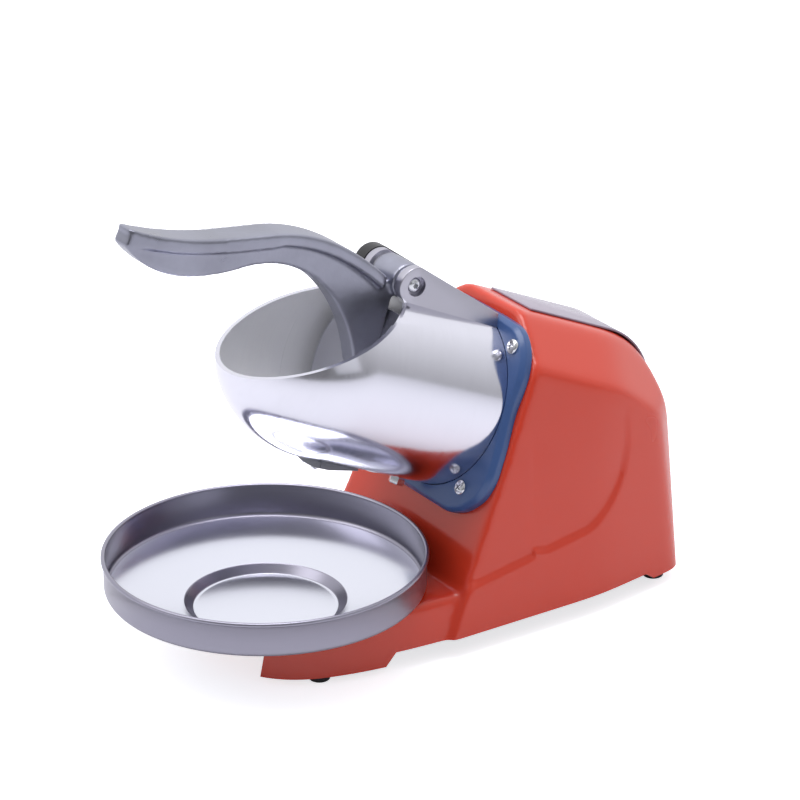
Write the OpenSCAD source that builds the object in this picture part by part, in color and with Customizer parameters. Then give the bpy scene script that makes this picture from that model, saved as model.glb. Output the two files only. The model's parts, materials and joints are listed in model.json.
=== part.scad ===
// Electric ice shaver: a tilted aluminium hopper with a press lever, a motor behind it and a bowl below.
// Millimetres. The origin is on the table at the middle of the machine's footprint. +Z is up, the bowl is
// at -Y and the motor end at +Y. The hopper, trim, blade disc and motor share one tilted axis: in its
// own frame +Z runs forward along the axis, +Y is up across it and +X is the machine's own +X.

/* [Tilted axis] */
// Tilt of the hopper and motor axis above the horizontal, degrees
tilt = 24; // [22:0.5:26]
// Place along Y of the middle of the trim pad's front face
axis_y = 47.5; // [45:0.5:50]
// Height of the middle of the trim pad's front face
axis_z = 144.5; // [142:0.5:147]

/* [Hopper] */
// Outer radius of the hopper's round barrel
hopper_r = 60; // [58:0.5:61]
// Thickness of the cast hopper wall
hopper_wall = 2.9; // [2.5:0.1:3.2]
// Length of the straight barrel in front of the trim pad
barrel_len = 105; // [95:1:110]
// Length of the rounded nose in front of the barrel
nose_len = 73; // [65:1:76]
// Roundness of the nose: 2 is an ellipse, less is more pointed
nose_power = 1.85; // [1.7:0.05:2.2]
// Fall of the mouth's cut across the axis, per millimetre along it
mouth_slope = 0.74; // [0.68:0.01:0.78]
// Distance along the axis at which the mouth's cut crosses the axis
mouth_cross = 149.5; // [146:0.5:152]

/* [Hinge] */
// Distance of the hinge pin along the tilted axis
hinge_a = 71; // [70:0.5:72]
// Distance of the hinge pin across the tilted axis
hinge_b = 67; // [66:0.5:68]
// Radius of the hinge pin
pin_r = 4; // [3.5:0.1:4.5]
// Half the gap between the two ears
ear_gap = 16; // [15:0.5:17]
// Thickness of each ear
ear_t = 6; // [5:0.5:7]

/* [Lever] */
// Half width of the lever's top flange
flange_half = 13; // [11:0.5:14]
// Height of the handle's tip above the table
tip_z = 305; // [300:1:308]
// Distance of the handle's tip in front of the origin
tip_y = 189; // [184:1:190]

/* [Blade disc] */
// Radius of the blade disc
disc_r = 54; // [52:0.5:55]
// Place of the disc's rear face along the tilted axis
disc_a = 60; // [59:0.5:61]
// Thickness of the blade disc
disc_t = 3; // [2.5:0.5:3.5]

/* [Motor] */
// Outer radius of the motor can
motor_r = 36; // [34:0.5:37]
// Place of the motor's front face along the tilted axis
motor_a = 39.9; // [38:0.1:40]
// Length of the motor can
motor_len = 92; // [88:1:94]
// Radius of the motor shaft
shaft_r = 4; // [3.8:0.1:4]

/* [Housing] */
// Wall of the moulded housing
wall = 3; // [2.5:0.1:3.5]
// Height of the ledge that carries the bowl
ledge_z = 40.5; // [39:0.5:41]
// Place of the housing's rear face
rear_y = 195; // [194:0.5:196]
// Height of the base plate's underside, which the feet carry
foot_z = 14; // [13:0.5:14]

/* [Bowl] */
// Outer radius over the bowl's rolled rim
bowl_r = 105; // [104:0.5:105]
// Place of the bowl's middle along Y
bowl_y = -91.5; // [-92:0.5:-91]
// Height of the top of the rim
bowl_top = 68; // [66:0.5:70]
// Thickness of the bowl's sheet
bowl_t = 0.8; // [0.7:0.1:1]

/* [Hidden] */
$fn = 64;
e = 0.02;                       // small overlap that keeps cuts clean
running = 0.05;                 // radial clearance of a running fit
face_a = -8;                    // front face of the housing along the tilted axis
screw_x = 47;                   // corner screws of the trim pad, half spacing across
screw_b = 48.6;                 // and half spacing up
screw_r = 2;
bore_r = hopper_r - hopper_wall;
recess_t = 4;                   // depth of the recess around the pin's screw
pin_end = ear_gap + ear_t - recess_t;
wall_a = 40;                    // rear wall of the ice chamber along the tilted axis
wall_t = 4;
bearing_r = 11;
bearing_w = 7;
pusher_a = disc_a + disc_t + 6.2;
pusher_t = 4;
pusher_r = 50;
arch_x = 43;                    // half width of the arch between the front legs
foot_xy = [[57.5, -87.5], [54, 179]];
base_screw_xy = [[60, -25], [62, 95]];
outlet_a = [46, 58];            // ice outlet along the tilted axis
outlet_x = 22;                  // and half its width
spout_a = [59, 90];             // ice lip along the tilted axis
spout_r = 64.6;
spout_x = 16.5;                 // and half its width
spout_screw_a = 4;              // its screws, behind its front end
spout_screw_turn = 5;           // and turned to each side
cam_r = 8;                      // largest radius of the switch cam
cam_drop = 1.2;                 // fall of its radius over the lever's travel
lever_travel = 95;
dish_r = 54.5;                  // outer edge of the step in the bowl's floor
dish_z = 33.2;                  // and the height of the floor's underside there
dish_slope = 0.23;              // rise of the floor from the step to the wall, per millimetre
foot_r = 99.5;                  // radius at which the floor turns up into the wall
rocker_z = 58;
rocker_x = -24;
gland_x = 24;
gland_z = 30;

// Points of a flat path on both sides of the machine
function both(points) = concat([for (p = points) [p[0], p[1], p[2]]], [for (p = points) [-p[0], p[1], p[2]]]);
// A point given across, up and along the tilted axis, in the machine's frame
function on_axis(x, b, a) = [
    x, axis_y - a * cos(tilt) + b * sin(tilt), axis_z + a * sin(tilt) + b * cos(tilt)];
// Radius of the hopper's outside at a distance along its axis
function nose_k(a) = min(1, max(0, (a - barrel_len) / nose_len));
function hopper_radius(a) = hopper_r * pow(1 - pow(nose_k(a), nose_power), 1 / nose_power);
// Bezier curve through four handles
function bez(p, t) = pow(1 - t, 3) * p[0] + 3 * t * pow(1 - t, 2) * p[1] + 3 * t * t * (1 - t) * p[2]
    + pow(t, 3) * p[3];
function curve(p, n) = [for (i = [0 : n]) bez(p, i / n)];
function tail(list) = [for (i = [1 : len(list) - 1]) list[i]];
function reversed(list) = [for (i = [len(list) - 1 : -1 : 0]) list[i]];
function arc(c, r, a0, a1, n) = [for (i = [0 : n]) let (t = a0 + (a1 - a0) * i / n) c + r * [cos(t), sin(t)]];

// Moves to a distance along the tilted axis
module tilted(a = 0) {
    translate([0, axis_y, axis_z]) rotate([90 - tilt, 0, 0]) translate([0, 0, a]) children();
}
// Stands a flat outline of (Y, Z) points up and thickens it along X from x0
module side_plate(x0, w) {
    translate([x0, 0, 0]) rotate([90, 0, 90]) linear_extrude(w) children();
}
// Tube along Z
module tube(r, r_in, h) {
    difference() {
        cylinder(r = r, h = h);
        translate([0, 0, -1]) cylinder(r = r_in, h = h + 2);
    }
}
// Pan-head screw: the head's flat side on z = 0, the shank going down
module pan_screw(head_r, head_h, shank_r, shank_len) {
    difference() {
        union() {
            cylinder(r = head_r, h = head_h * 0.45);
            translate([0, 0, head_h * 0.45 - e])
                cylinder(r1 = head_r, r2 = head_r * 0.62, h = head_h * 0.55 + e);
        }
        for (k = [0, 90]) rotate([0, 0, k]) translate([-head_r * 0.5, -0.45, head_h * 0.5])
            cube([head_r, 0.9, head_h]);
    }
    translate([0, 0, -shank_len]) cylinder(r = shank_r, h = shank_len + e);
}
module corners(x, y) {
    for (sx = [-1, 1], sy = [-1, 1]) translate([sx * x, sy * y, 0]) children();
}

// ---- Housing -------------------------------------------------------------------------------------

// Rounded upper body, set in by g on every side
top_b = 70;                     // flat top across the tilted axis
crown_r = 54;                   // radius where the flat top turns down to the rear
crown_y = rear_y - crown_r;
crown_z = axis_z + (top_b - crown_r - (crown_y - axis_y) * sin(tilt)) / cos(tilt);
function upper_points(g) = concat(
    [on_axis(31 - 0.6 * g, top_b - g, face_a - g), on_axis(64 - g, 43 - 0.7 * g, face_a - g),
     on_axis(72 - g, 5, face_a - g), on_axis(73 - g, -30, face_a - g), on_axis(72.5 - g, -92, face_a - g)],
    [for (t = [0 : 22 : 66]) [
        31 - 0.6 * g, crown_y + (crown_r - g) * cos(t), crown_z + (crown_r - g) * sin(t)]],
    [on_axis(64 - g, 43 - 0.7 * g, -85), [62 - g, 166, 128 - g], [60 - g, 184 - g, 98], [61 - g, 190 - g, 60],
     [48, rear_y - g, 60], [72 - g, 120, 60]]);
module upper_body(g, r) {
    hull() for (p = both(upper_points(g))) translate(p) sphere(r = r, $fn = 16);
}
// Wider plinth below the crease on each side
function plinth_points(g, z0) = [
    [78 - g, 14, 46 - g], [77 - g, 70, 53 - g], [75 - g, 99, 62 - g], [71.5 - g, 126, 82 - g],
    [68 - g, 141, 104 - g], [62 - g, 172, 106 - g], [60 - g, 188 - g, 88 - g], [46, rear_y - 0.8 - g, 70],
    [80.5 - g, -3, z0], [81.5 - g, 35, z0], [78 - g, 96, z0], [72 - g, 146, z0], [67 - g, 176, z0],
    [60.5 - g, 189 - g, z0], [46, rear_y - 0.8 - g, z0]];
module plinth(g, r, z0) {
    hull() for (p = both(plinth_points(g, z0 + r))) translate(p) sphere(r = r, $fn = 16);
}
// Low tongue under the bowl
function tongue_points(g, z0, z1) = [
    [30 - g, -132.5 + g, z0], [46 - g, -125.5 + g, z0], [58 - g, -107 + g, z0], [68 - g, -89, z0],
    [74 - g, -69, z0], [78 - g, -46, z0], [79.6 - g, -8, z0], [78.5 - g, 12, z0],
    [27 - g, -128 + g, z1], [42 - g, -121 + g, z1], [54 - g, -103 + g, z1], [64 - g, -86, z1],
    [70 - g, -66, z1], [73.5 - g, -43, z1], [75 - g, 4, z1], [73 - g, 17, z1]];
module tongue(g, r, z0, z1) {
    hull() for (p = both(tongue_points(g, z0 + r, z1 - r))) translate(p) sphere(r = r, $fn = 16);
}
module screw_boss(p, z1) {
    translate([p[0], p[1], foot_z + 2]) cylinder(r = 4.5, h = z1 - foot_z - 2);
}
module housing() {
    round_r = 4;
    color("tomato") difference() {
        union() {
            difference() {
                union() {
                    upper_body(round_r, round_r);
                    plinth(round_r, round_r, 8);
                    tongue(round_r, round_r, 5, ledge_z);
                }
                upper_body(wall, 0.1);
                plinth(wall, 0.1, 4);
                tongue(wall + 0.4, 0.1, 1, 24);
            }
            for (s = [-1, 1]) {
                screw_boss([s * base_screw_xy[0][0], base_screw_xy[0][1]], 34);
                screw_boss([s * base_screw_xy[1][0], base_screw_xy[1][1]], 44);
                translate([s > 0 ? 62 : -75, 93, foot_z + 2]) cube([13, 4, 28]);
            }
        }
        // Dished seat for the bowl
        translate([0, bowl_y, 0]) rotate_extrude($fn = 96) polygon([[0, dish_z - 5.3], [55, dish_z - 5.3],
            [55, dish_z - 0.3], [foot_r + 6, dish_z - 0.3 + (foot_r + 6 - dish_r) * dish_slope], [0, 60]]);
        // Arch between the front legs
        translate([-arch_x, -150, -1]) cube([2 * arch_x, 39.5, 25]);
        // Opening for the hopper and the four corner screws
        tilted(-30) cylinder(r = hopper_r + 0.3, h = 60);
        tilted(-20) corners(screw_x, screw_b) cylinder(r = screw_r + 0.3, h = 30);
        // Arch between the front and rear feet
        translate([-100, -46, -1]) cube([200, 212, foot_z]);
        // Pilot holes for the base screws
        for (s = [-1, 1], p = base_screw_xy) translate([s * p[0], p[1], foot_z]) cylinder(r = 1.5, h = 15);
        // Openings in the rear face
        translate([rocker_x - 9.7, rear_y - 10, rocker_z - 6.7]) cube([19.4, 20, 13.4]);
        translate([gland_x, rear_y - 12, gland_z]) rotate([-90, 0, 0]) cylinder(r = 6, h = 20);
    }
}
module top_panel() {
    // Grey strip along the top that turns down the rear
    t = 1.4;
    lift = 0.1;
    front = on_axis(0, top_b + lift, face_a - 8);
    crown = [crown_y, crown_z];
    outer = concat([[front[1], front[2]] + t * [sin(tilt), cos(tilt)]],
                   reversed(arc(crown, crown_r + lift + t, 0, 90 - tilt, 14)), [[rear_y + lift + t, 84]]);
    inner = concat([[front[1], front[2]]], reversed(arc(crown, crown_r + lift, 0, 90 - tilt, 14)),
                   [[rear_y + lift, 84]]);
    color("lightsteelblue") side_plate(-26, 52) polygon(concat(outer, reversed(inner)));
}
module base_outline() {
    offset(delta = -1.8) polygon([for (s = [-1, 1], i = [0 : 10]) let (p = [
        [24, -100], [40, -101], [53, -103], [62, -87], [68, -68], [72, -45], [75, -3], [75.5, 35], [72, 96],
        [61, 174], [44, 189]][s < 0 ? i : 10 - i]) [s * p[0], p[1]]]);
}
module base_plate() {
    color("dimgray") difference() {
        translate([0, 0, foot_z]) linear_extrude(2) base_outline();
        for (s = [-1, 1], p = base_screw_xy) translate([s * p[0], p[1], 0]) cylinder(r = 1.9, h = 30);
        for (s = [-1, 1], p = foot_xy) translate([s * p[0], p[1], 0]) cylinder(r = 1.9, h = 30);
        for (y = [60 : 12 : 144]) translate([-30, y, 0]) cube([60, 4, 30]);
    }
}
module base_screws() {
    color("silver") for (s = [-1, 1], p = base_screw_xy) translate([s * p[0], p[1], foot_z - e])
        rotate([180, 0, 0]) pan_screw(3.6, 2.2, 1.45, 12);
}
module rubber_feet() {
    color([0.08, 0.08, 0.09]) for (s = [-1, 1], p = foot_xy) translate([s * p[0], p[1], 0]) difference() {
        union() {
            cylinder(r1 = 6.2, r2 = 7, h = 1.5);
            translate([0, 0, 1.5 - e]) cylinder(r = 7, h = 3.1);
            cylinder(r = 3.8, h = foot_z);
        }
        translate([0, 0, -1]) cylinder(r = 3.4, h = 5);
        cylinder(r = 1.9, h = 30);
    }
}
module foot_screws() {
    color("silver") for (s = [-1, 1], p = foot_xy) translate([s * p[0], p[1], 4]) rotate([180, 0, 0])
        pan_screw(3.1, 2, 1.8, 14);
}

// ---- Trim, hopper and ice outlet ------------------------------------------------------------------

// Half outline of the trim pad: across and up
trim_half = [[26, 63], [44, 62], [53, 56], [60, 47], [65, 36], [66, 22], [65, 8], [69, -18],
             [70, -36], [66, -48], [54, -60], [40, -66], [22, -66]];
module trim_outline(g) {
    offset(r = 3) polygon(concat([for (p = trim_half) p - (3 + g) * [1, sign(p[1])]],
                                 [for (p = reversed(trim_half))
                                      [3 + g - p[0], p[1] - (3 + g) * sign(p[1])]]));
}
module trim_pad() {
    color([0.33, 0.45, 0.64]) difference() {
        union() {
            tilted(face_a + 0.05) linear_extrude(4.5) trim_outline(0);
            tilted(face_a + 4) linear_extrude(4) trim_outline(2.5);
        }
        tilted(face_a - 5) cylinder(r = hopper_r + 0.1, h = 30);
        tilted(face_a - 5) corners(screw_x, screw_b) cylinder(r = screw_r + 0.2, h = 30);
    }
}
module trim_screws() {
    color("gainsboro") tilted(e) corners(screw_x, screw_b) pan_screw(5.3, 3.2, screw_r, 24);
}
module ear_outline() {
    hull() {
        translate([hinge_b, hinge_a]) circle(r = 12.5, $fn = 32);
        polygon([[55.5, 0.1], [62, 0.1], [55.5, 66]]);
    }
}
module hopper() {
    steps = 14;
    nose = [for (i = [1 : steps]) let (k = sin(90 * i / steps)) [
        hopper_radius(barrel_len + k * nose_len), barrel_len + k * nose_len]];
    inner_nose = [for (i = [1 : steps]) let (k = sin(90 * i / steps)) [
        hopper_radius(barrel_len + k * nose_len) * bore_r / hopper_r,
        barrel_len + k * (nose_len - hopper_wall)]];
    color("silver") difference() {
        union() {
            tilted() rotate_extrude($fn = 96)
                polygon(concat([[0, -11], [hopper_r, -11], [hopper_r, barrel_len]], nose));
            tilted(-15) cylinder(r = hopper_r + 3, h = 4);
            tilted(-15) intersection() {
                corners(screw_x, screw_b) cylinder(r = 6, h = 3.8);
                translate([-49.5, -49.5, -1]) cube([99, 99, 6]);
            }
            for (x = [-ear_gap - ear_t, ear_gap]) tilted() side_plate(x, ear_t) ear_outline();
        }
        // Loading space in front of the rear wall, motor space behind it
        tilted() rotate_extrude($fn = 96) polygon(concat([[0, wall_a + wall_t], [bore_r, wall_a + wall_t],
            [bore_r, barrel_len]], inner_nose));
        tilted(-16) cylinder(r = bore_r, h = 16 + wall_a);
        tilted(wall_a - 5) cylinder(r = 8, h = 20);
        // Mouth: everything above the sloping cut in front of the ears
        tilted() side_plate(-80, 160) polygon([[(mouth_cross - 73.5) * mouth_slope, 73.5],
            [(mouth_cross - 190) * mouth_slope, 190], [120, 190], [120, 84],
            [(mouth_cross - 84) * mouth_slope + 12, 84], [(mouth_cross - 73.5) * mouth_slope + 12, 73.5]]);
        // Notch for the lever's hub
        tilted() side_plate(-ear_gap, 2 * ear_gap) union() {
            translate([hinge_b, hinge_a]) circle(r = 13.5);
            translate([48, hinge_a]) square([30, 20]);
        }
        // Pin bores, and the counterbore of the pin's screw
        tilted() side_plate(-40, 80) translate([hinge_b, hinge_a]) circle(r = pin_r + running);
        tilted() side_plate(ear_gap + ear_t - recess_t, 9) translate([hinge_b, hinge_a]) circle(r = 6.5);
        // Corner screws, motor screws, ice outlet and clamp bolt
        tilted(-20) corners(screw_x, screw_b) cylinder(r = screw_r + e, h = 12);
        tilted(wall_a - 1) corners(17, 17) cylinder(r = 2.1, h = 10);
        tilted() translate([-outlet_x, -70, outlet_a[0]]) cube([2 * outlet_x, 20, outlet_a[1] - outlet_a[0]]);
        tilted(13.5) rotate([90, 0, 0]) cylinder(r = 3.1, h = 80);
    }
}
module ice_spout() {
    // Lip in front of the ice outlet that keeps the shavings falling into the bowl
    color("slategray") tilted() difference() {
        intersection() {
            rotate_extrude($fn = 96) polygon([
                [hopper_r + 0.08, spout_a[0]], [hopper_r + 1.2, spout_a[0]], [spout_r, spout_a[1] - 8],
                [spout_r, spout_a[1]], [hopper_r + 0.08, spout_a[1]]]);
            translate([-spout_x, -70, spout_a[0]]) cube([2 * spout_x, 20, spout_a[1] - spout_a[0]]);
        }
        for (s = [-1, 1]) rotate([0, 0, s * spout_screw_turn])
            translate([0, 0, spout_a[1] - spout_screw_a]) rotate([90, 0, 0]) cylinder(r = 1.6, h = 80);
    }
}
module spout_screws() {
    color("silver") tilted(spout_a[1] - spout_screw_a) for (s = [-1, 1]) rotate([0, 0, s * spout_screw_turn])
        translate([0, -spout_r - e, 0]) rotate([90, 0, 0])
            pan_screw(2.4, 1.5, 1.5, spout_r - hopper_r - 0.1);
}
module clamp_bolt() {
    color("silver") tilted(13.5) rotate([90, 0, 0]) {
        translate([0, 0, motor_r + 0.2]) cylinder(r = 3, h = hopper_r - motor_r);
        translate([0, 0, hopper_r + 0.1]) cylinder(r = 5.5, h = 5.6, $fn = 6);
    }
}

// ---- Safety switch --------------------------------------------------------------------------------

cover_x = -ear_gap - ear_t - 0.3;
module cover_outline(g) {
    hull() {
        translate([hinge_b, hinge_a]) circle(r = 12.8 - g, $fn = 32);
        translate([hinge_b - 3.5, 30]) circle(r = 7 - g, $fn = 32);
    }
}
module switch_cover() {
    color([0.1, 0.1, 0.12]) tilted() difference() {
        side_plate(cover_x - 11, 11) cover_outline(0);
        side_plate(cover_x - 9.2, 12) cover_outline(1.8);
        cylinder(r = hopper_r + 0.1, h = 120);
    }
}
module micro_switch() {
    color([0.75, 0.12, 0.1]) tilted() difference() {
        translate([cover_x - 8, hinge_b - 8, 34]) cube([6.4, 9, 22]);
        translate([cover_x - 4.8, hinge_b, 48]) cylinder(r = 1.5 + running, h = 30);
    }
}
module switch_plunger() {
    color("ivory") tilted() translate([cover_x - 4.8, hinge_b, 51])
        cylinder(r = 1.5, h = hinge_a - cam_r - 51.2);
}
module switch_cam() {
    // Spiral cam on the far end of the pin: its radius falls evenly as the lever opens
    color("white") tilted() difference() {
        side_plate(cover_x - 6.8, 4) translate([hinge_b, hinge_a]) polygon([for (t = [-180 : 5 : 175])
            let (r = cam_r - cam_drop * (t < 0 ? 0 : t <= 105 ? t / lever_travel : 1.1 * (175 - t) / 70))
            r * [sin(t), -cos(t)]]);
        side_plate(cover_x - 9, 9) translate([hinge_b, hinge_a]) circle(r = pin_r);
    }
}

// ---- Motor and blade disc -------------------------------------------------------------------------

module motor_can() {
    color([0.55, 0.57, 0.6]) tilted(motor_a - motor_len) difference() {
        cylinder(r = motor_r, h = motor_len);
        translate([0, 0, -1]) cylinder(r = motor_r - 2.5, h = motor_len - 9);
        cylinder(r = bearing_r + e, h = motor_len + 1);
        corners(17, 17) translate([0, 0, motor_len - 12]) cylinder(r = 2, h = 20);
    }
}
module motor_end_cap() {
    color([0.2, 0.2, 0.22]) tilted(motor_a - motor_len - 8) difference() {
        union() {
            cylinder(r = motor_r, h = 8 - e);
            cylinder(r = motor_r - 2.6, h = 12);
        }
        translate([0, 0, 3]) cylinder(r = bearing_r + e, h = 20);
        translate([0, 0, 8]) cylinder(r = motor_r - 6, h = 5);
        for (k = [0 : 60 : 359]) rotate([0, 0, k]) translate([22, 0, -1]) cylinder(r = 3.5, h = 20);
    }
}
module motor_magnets() {
    color([0.25, 0.25, 0.28]) tilted(motor_a - motor_len + 24) for (k = [0, 180]) rotate([0, 0, k])
        rotate([0, 0, -60]) rotate_extrude(angle = 120) translate([27.5, 0]) square([5.7, 52]);
}
module motor_screws() {
    color("silver") tilted(wall_a + wall_t + e) corners(17, 17) pan_screw(3.8, 2.4, 2, 10);
}
module bearing(r_in) {
    difference() {
        cylinder(r = bearing_r, h = bearing_w);
        translate([0, 0, -1]) cylinder(r = r_in, h = bearing_w + 2);
        for (z = [-0.01, bearing_w - 0.79]) translate([0, 0, z]) tube(9.4, 6, 0.8);
    }
}
module front_bearing() {
    color("silver") tilted(motor_a - bearing_w) bearing(shaft_r + running);
}
module rear_bearing() {
    color("silver") tilted(motor_a - motor_len - 5 + e) bearing(shaft_r + running);
}
module brushes() {
    color([0.3, 0.28, 0.26]) tilted(motor_a - motor_len + 9) for (k = [0, 180]) rotate([0, 0, k])
        translate([9.8, -3, 0]) cube([16, 6, 7]);
}
module motor_shaft() {
    a0 = motor_a - motor_len - 4;
    color("lightgray") tilted() {
        translate([0, 0, a0]) cylinder(r = shaft_r, h = disc_a - a0);
        translate([0, 0, disc_a - e]) cylinder(r = shaft_r - 0.5, h = disc_t + 4);
    }
}
module armature() {
    color([0.7, 0.42, 0.2]) tilted(motor_a - motor_len + 26) difference() {
        cylinder(r = 26, h = 48);
        for (k = [0 : 30 : 359]) rotate([0, 0, k]) translate([20, -1.4, -1]) cube([10, 2.8, 50]);
        translate([0, 0, -1]) cylinder(r = shaft_r, h = 50);
    }
}
module commutator() {
    color([0.8, 0.5, 0.25]) tilted(motor_a - motor_len + 7) tube(9.4, shaft_r, 12);
}
module cooling_fan() {
    color([0.3, 0.3, 0.32]) tilted(motor_a - motor_len + 76) {
        tube(8, shaft_r, 6);
        tube(27, 7.9, 1.2);
        for (k = [0 : 40 : 359]) rotate([0, 0, k]) translate([7.5, -0.6, 1]) cube([18, 1.2, 4]);
    }
}
module blade_disc() {
    color("gainsboro") tilted(disc_a) difference() {
        union() {
            cylinder(r = disc_r, h = disc_t, $fn = 96);
            translate([0, 0, -10]) cylinder(r = 9, h = 11);
        }
        translate([0, 0, -11 + e]) cylinder(r = shaft_r, h = 11);
        translate([0, 0, -2]) cylinder(r = shaft_r - 0.5, h = 10);
        for (k = [0, 180]) rotate([0, 0, k]) translate([13, -3, -1]) cube([36, 5, disc_t + 2]);
        for (k = [0, 180], x = [21, 41]) rotate([0, 0, k]) translate([x, 8, -1])
            cylinder(r = 1.5, h = disc_t + 2);
    }
}
module blades() {
    color("white") tilted(disc_a + disc_t + e) for (k = [0, 180]) rotate([0, 0, k]) difference() {
        side = [[0.5, 0], [13, 0], [13, 1.4], [2.5, 1.4]];
        translate([12, 0, 0]) side_plate(0, 38) polygon(side);
        for (x = [21, 41]) translate([x, 8, -1]) cylinder(r = 1.6, h = 4);
    }
}
module blade_screws() {
    color("silver") tilted(disc_a + disc_t + 1.4 + 2 * e) for (k = [0, 180], x = [21, 41])
        rotate([0, 0, k]) translate([x, 8, 0]) pan_screw(2.8, 1.2, 1.45, 4);
}
module disc_nut() {
    color("silver") tilted(disc_a + disc_t + e) difference() {
        cylinder(r = 7, h = 4.4, $fn = 6);
        translate([0, 0, -1]) cylinder(r = shaft_r - 0.5, h = 10);
    }
}

// ---- Electrics ------------------------------------------------------------------------------------

module rectifier_board() {
    color("darkgreen") difference() {
        translate([-62, 120, 24]) cube([36, 40, 1.6]);
        for (x = [-58, -30], y = [124, 156]) translate([x, y, 16]) cylinder(r = 1.5, h = 20);
    }
    color([0.1, 0.1, 0.1]) translate([-52, 132, 25.6 - e]) cube([15, 15, 7]);
    color("darkgreen") for (x = [-58, -30], y = [124, 156]) translate([x, y, foot_z + 2.02]) tube(3, 1.6, 8);
}
module board_screws() {
    color("silver") for (x = [-58, -30], y = [124, 156]) translate([x, y, 25.6 + e])
        pan_screw(2.6, 1.6, 1.4, 9);
}
module cord_gland() {
    color([0.09, 0.09, 0.1]) translate([gland_x, rear_y, gland_z]) rotate([-90, 0, 0]) difference() {
        union() {
            translate([0, 0, 0.1]) cylinder(r = 8, h = 1.4);
            translate([0, 0, -8]) cylinder(r = 5.9, h = 8.2);
        }
        translate([0, 0, -9]) cylinder(r = 3.6, h = 20);
    }
}
module rocker_frame() {
    color([0.1, 0.1, 0.11]) translate([rocker_x, rear_y, rocker_z]) difference() {
        union() {
            translate([-11.5, 0.1, -8.5]) cube([23, 1.2, 17]);
            translate([-9.5, -12, -6.5]) cube([19, 12.2, 13]);
        }
        translate([-8, -8, -5.2]) cube([16, 20, 10.4]);
        translate([-9.6, -2.2, 0]) rotate([0, 90, 0]) cylinder(r = 1 + running, h = 19.2);
    }
}
module rocker() {
    color([0.7, 0.1, 0.08]) translate([rocker_x, rear_y, rocker_z]) {
        translate([-9, -2.2, 0]) rotate([0, 90, 0]) cylinder(r = 1, h = 18);
        translate([0, -2.2, 0]) rotate([-8, 0, 0]) side_plate(-7.6, 15.2)
            polygon([[-2.6, -2], [-2.6, 2], [2.2, 4.7], [3.6, 4.7], [2.6, 0], [3.6, -4.7], [2.2, -4.7]]);
    }
}

// ---- Lever ----------------------------------------------------------------------------------------

hinge = on_axis(0, hinge_b, hinge_a);
// Top edge of the handle from the tip to the hub, as (Y, Z)
top_a = [[-tip_y + 1, tip_z + 6], [-150, 293], [-120, 291.5], [-84, 287]];
top_b_curve = [[-84, 287], [-50, 281], [-26, 262], [-4, 240]];
// Lower edge of the handle from the tip to the pusher
under_a = [[-tip_y - 2, tip_z - 5], [-170, 272], [-142, 266], [-108, 268]];
under_b = [[-108, 268], [-60, 270], [-30, 228], [-28, 187]];
function lowered(points, d) = [for (p = points) p - [0, d]];
function lever_side() = concat(lowered(curve(top_a, 8), 3), lowered(tail(curve(top_b_curve, 8)), 3),
    [[6, 229], [-6, 202], [-11, 182], [-25, 173]], reversed(curve(under_b, 10)),
    tail(reversed(curve(under_a, 8))));
function flange_side() = concat(curve(top_a, 8), tail(curve(top_b_curve, 8)),
    reversed([for (p = curve(top_b_curve, 8)) p + [-3, -7]]),
    tail(reversed([for (p = curve(top_a, 8)) p - [-1, 8]])));
module lever() {
    color("silver") difference() {
        union() {
            side_plate(-8, 16) polygon(lever_side());
            intersection() {
                side_plate(-flange_half, 2 * flange_half) polygon(flange_side());
                translate([0, 0, 150]) linear_extrude(200) polygon([[-flange_half, 20], [-flange_half, -150],
                    [-9, -190], [-4, -194], [4, -194], [9, -190], [flange_half, -150], [flange_half, 20]]);
            }
            tilted() side_plate(-ear_gap + 3, 2 * ear_gap - 6) translate([hinge_b, hinge_a]) circle(r = 12);
            tilted(pusher_a + pusher_t - 2) translate([-9, -24, 0]) cube([18, 40, 9]);
        }
        tilted() side_plate(-30, 60) translate([hinge_b, hinge_a]) circle(r = pin_r + e);
        tilted(pusher_a - 20) translate([-30, -70, 0]) cube([60, 118, 20 + pusher_t]);
        tilted(pusher_a) for (y = [-17, 9]) translate([0, y, 0]) cylinder(r = 2, h = 16);
    }
}
module hinge_pin() {
    color("lightgray") tilted() difference() {
        side_plate(cover_x - 6.8, pin_end - cover_x + 6.8) translate([hinge_b, hinge_a]) circle(r = pin_r);
        side_plate(ear_gap - 10, 20) translate([hinge_b, hinge_a]) circle(r = 2);
    }
}
module hinge_screw() {
    color("silver") tilted() translate([pin_end + e, hinge_b, hinge_a]) rotate([0, 90, 0]) difference() {
        union() {
            cylinder(r = 4.9, h = 1.6);
            translate([0, 0, 1.6 - e]) cylinder(r1 = 4.9, r2 = 3, h = 1.6);
            translate([0, 0, -9]) cylinder(r = 1.98, h = 9.1);
        }
        translate([0, 0, 1]) cylinder(r = 1.7, h = 4, $fn = 6);
    }
}
module hinge_spacers() {
    color("white") tilted() for (x = [-ear_gap + 0.15, ear_gap - 2.95]) side_plate(x, 2.8)
        translate([hinge_b, hinge_a]) difference() {
            circle(r = 10.5);
            circle(r = pin_r + e);
        }
}
module pusher_plate() {
    color([0.85, 0.86, 0.88]) tilted(pusher_a) difference() {
        cylinder(r = pusher_r, h = pusher_t, $fn = 96);
        translate([0, 0, -1]) cylinder(r = 9, h = 2.5);
        for (y = [-17, 9]) translate([0, y, -1]) cylinder(r = 2, h = 16);
        for (y = [-17, 9]) translate([0, y, -1]) cylinder(r = 3.5, h = 2 + e);
        for (r = [18, 28, 38]) translate([0, 0, -1]) tube(r + 2, r, 2);
        translate([-60, 46, -1]) cube([120, 20, 20]);
    }
}
module pusher_screws() {
    color("silver") tilted(pusher_a) for (y = [-17, 9]) translate([0, y, 1]) rotate([180, 0, 0])
        pan_screw(3.4, 1, 1.95, 12);
}

// ---- Bowl -----------------------------------------------------------------------------------------

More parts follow.
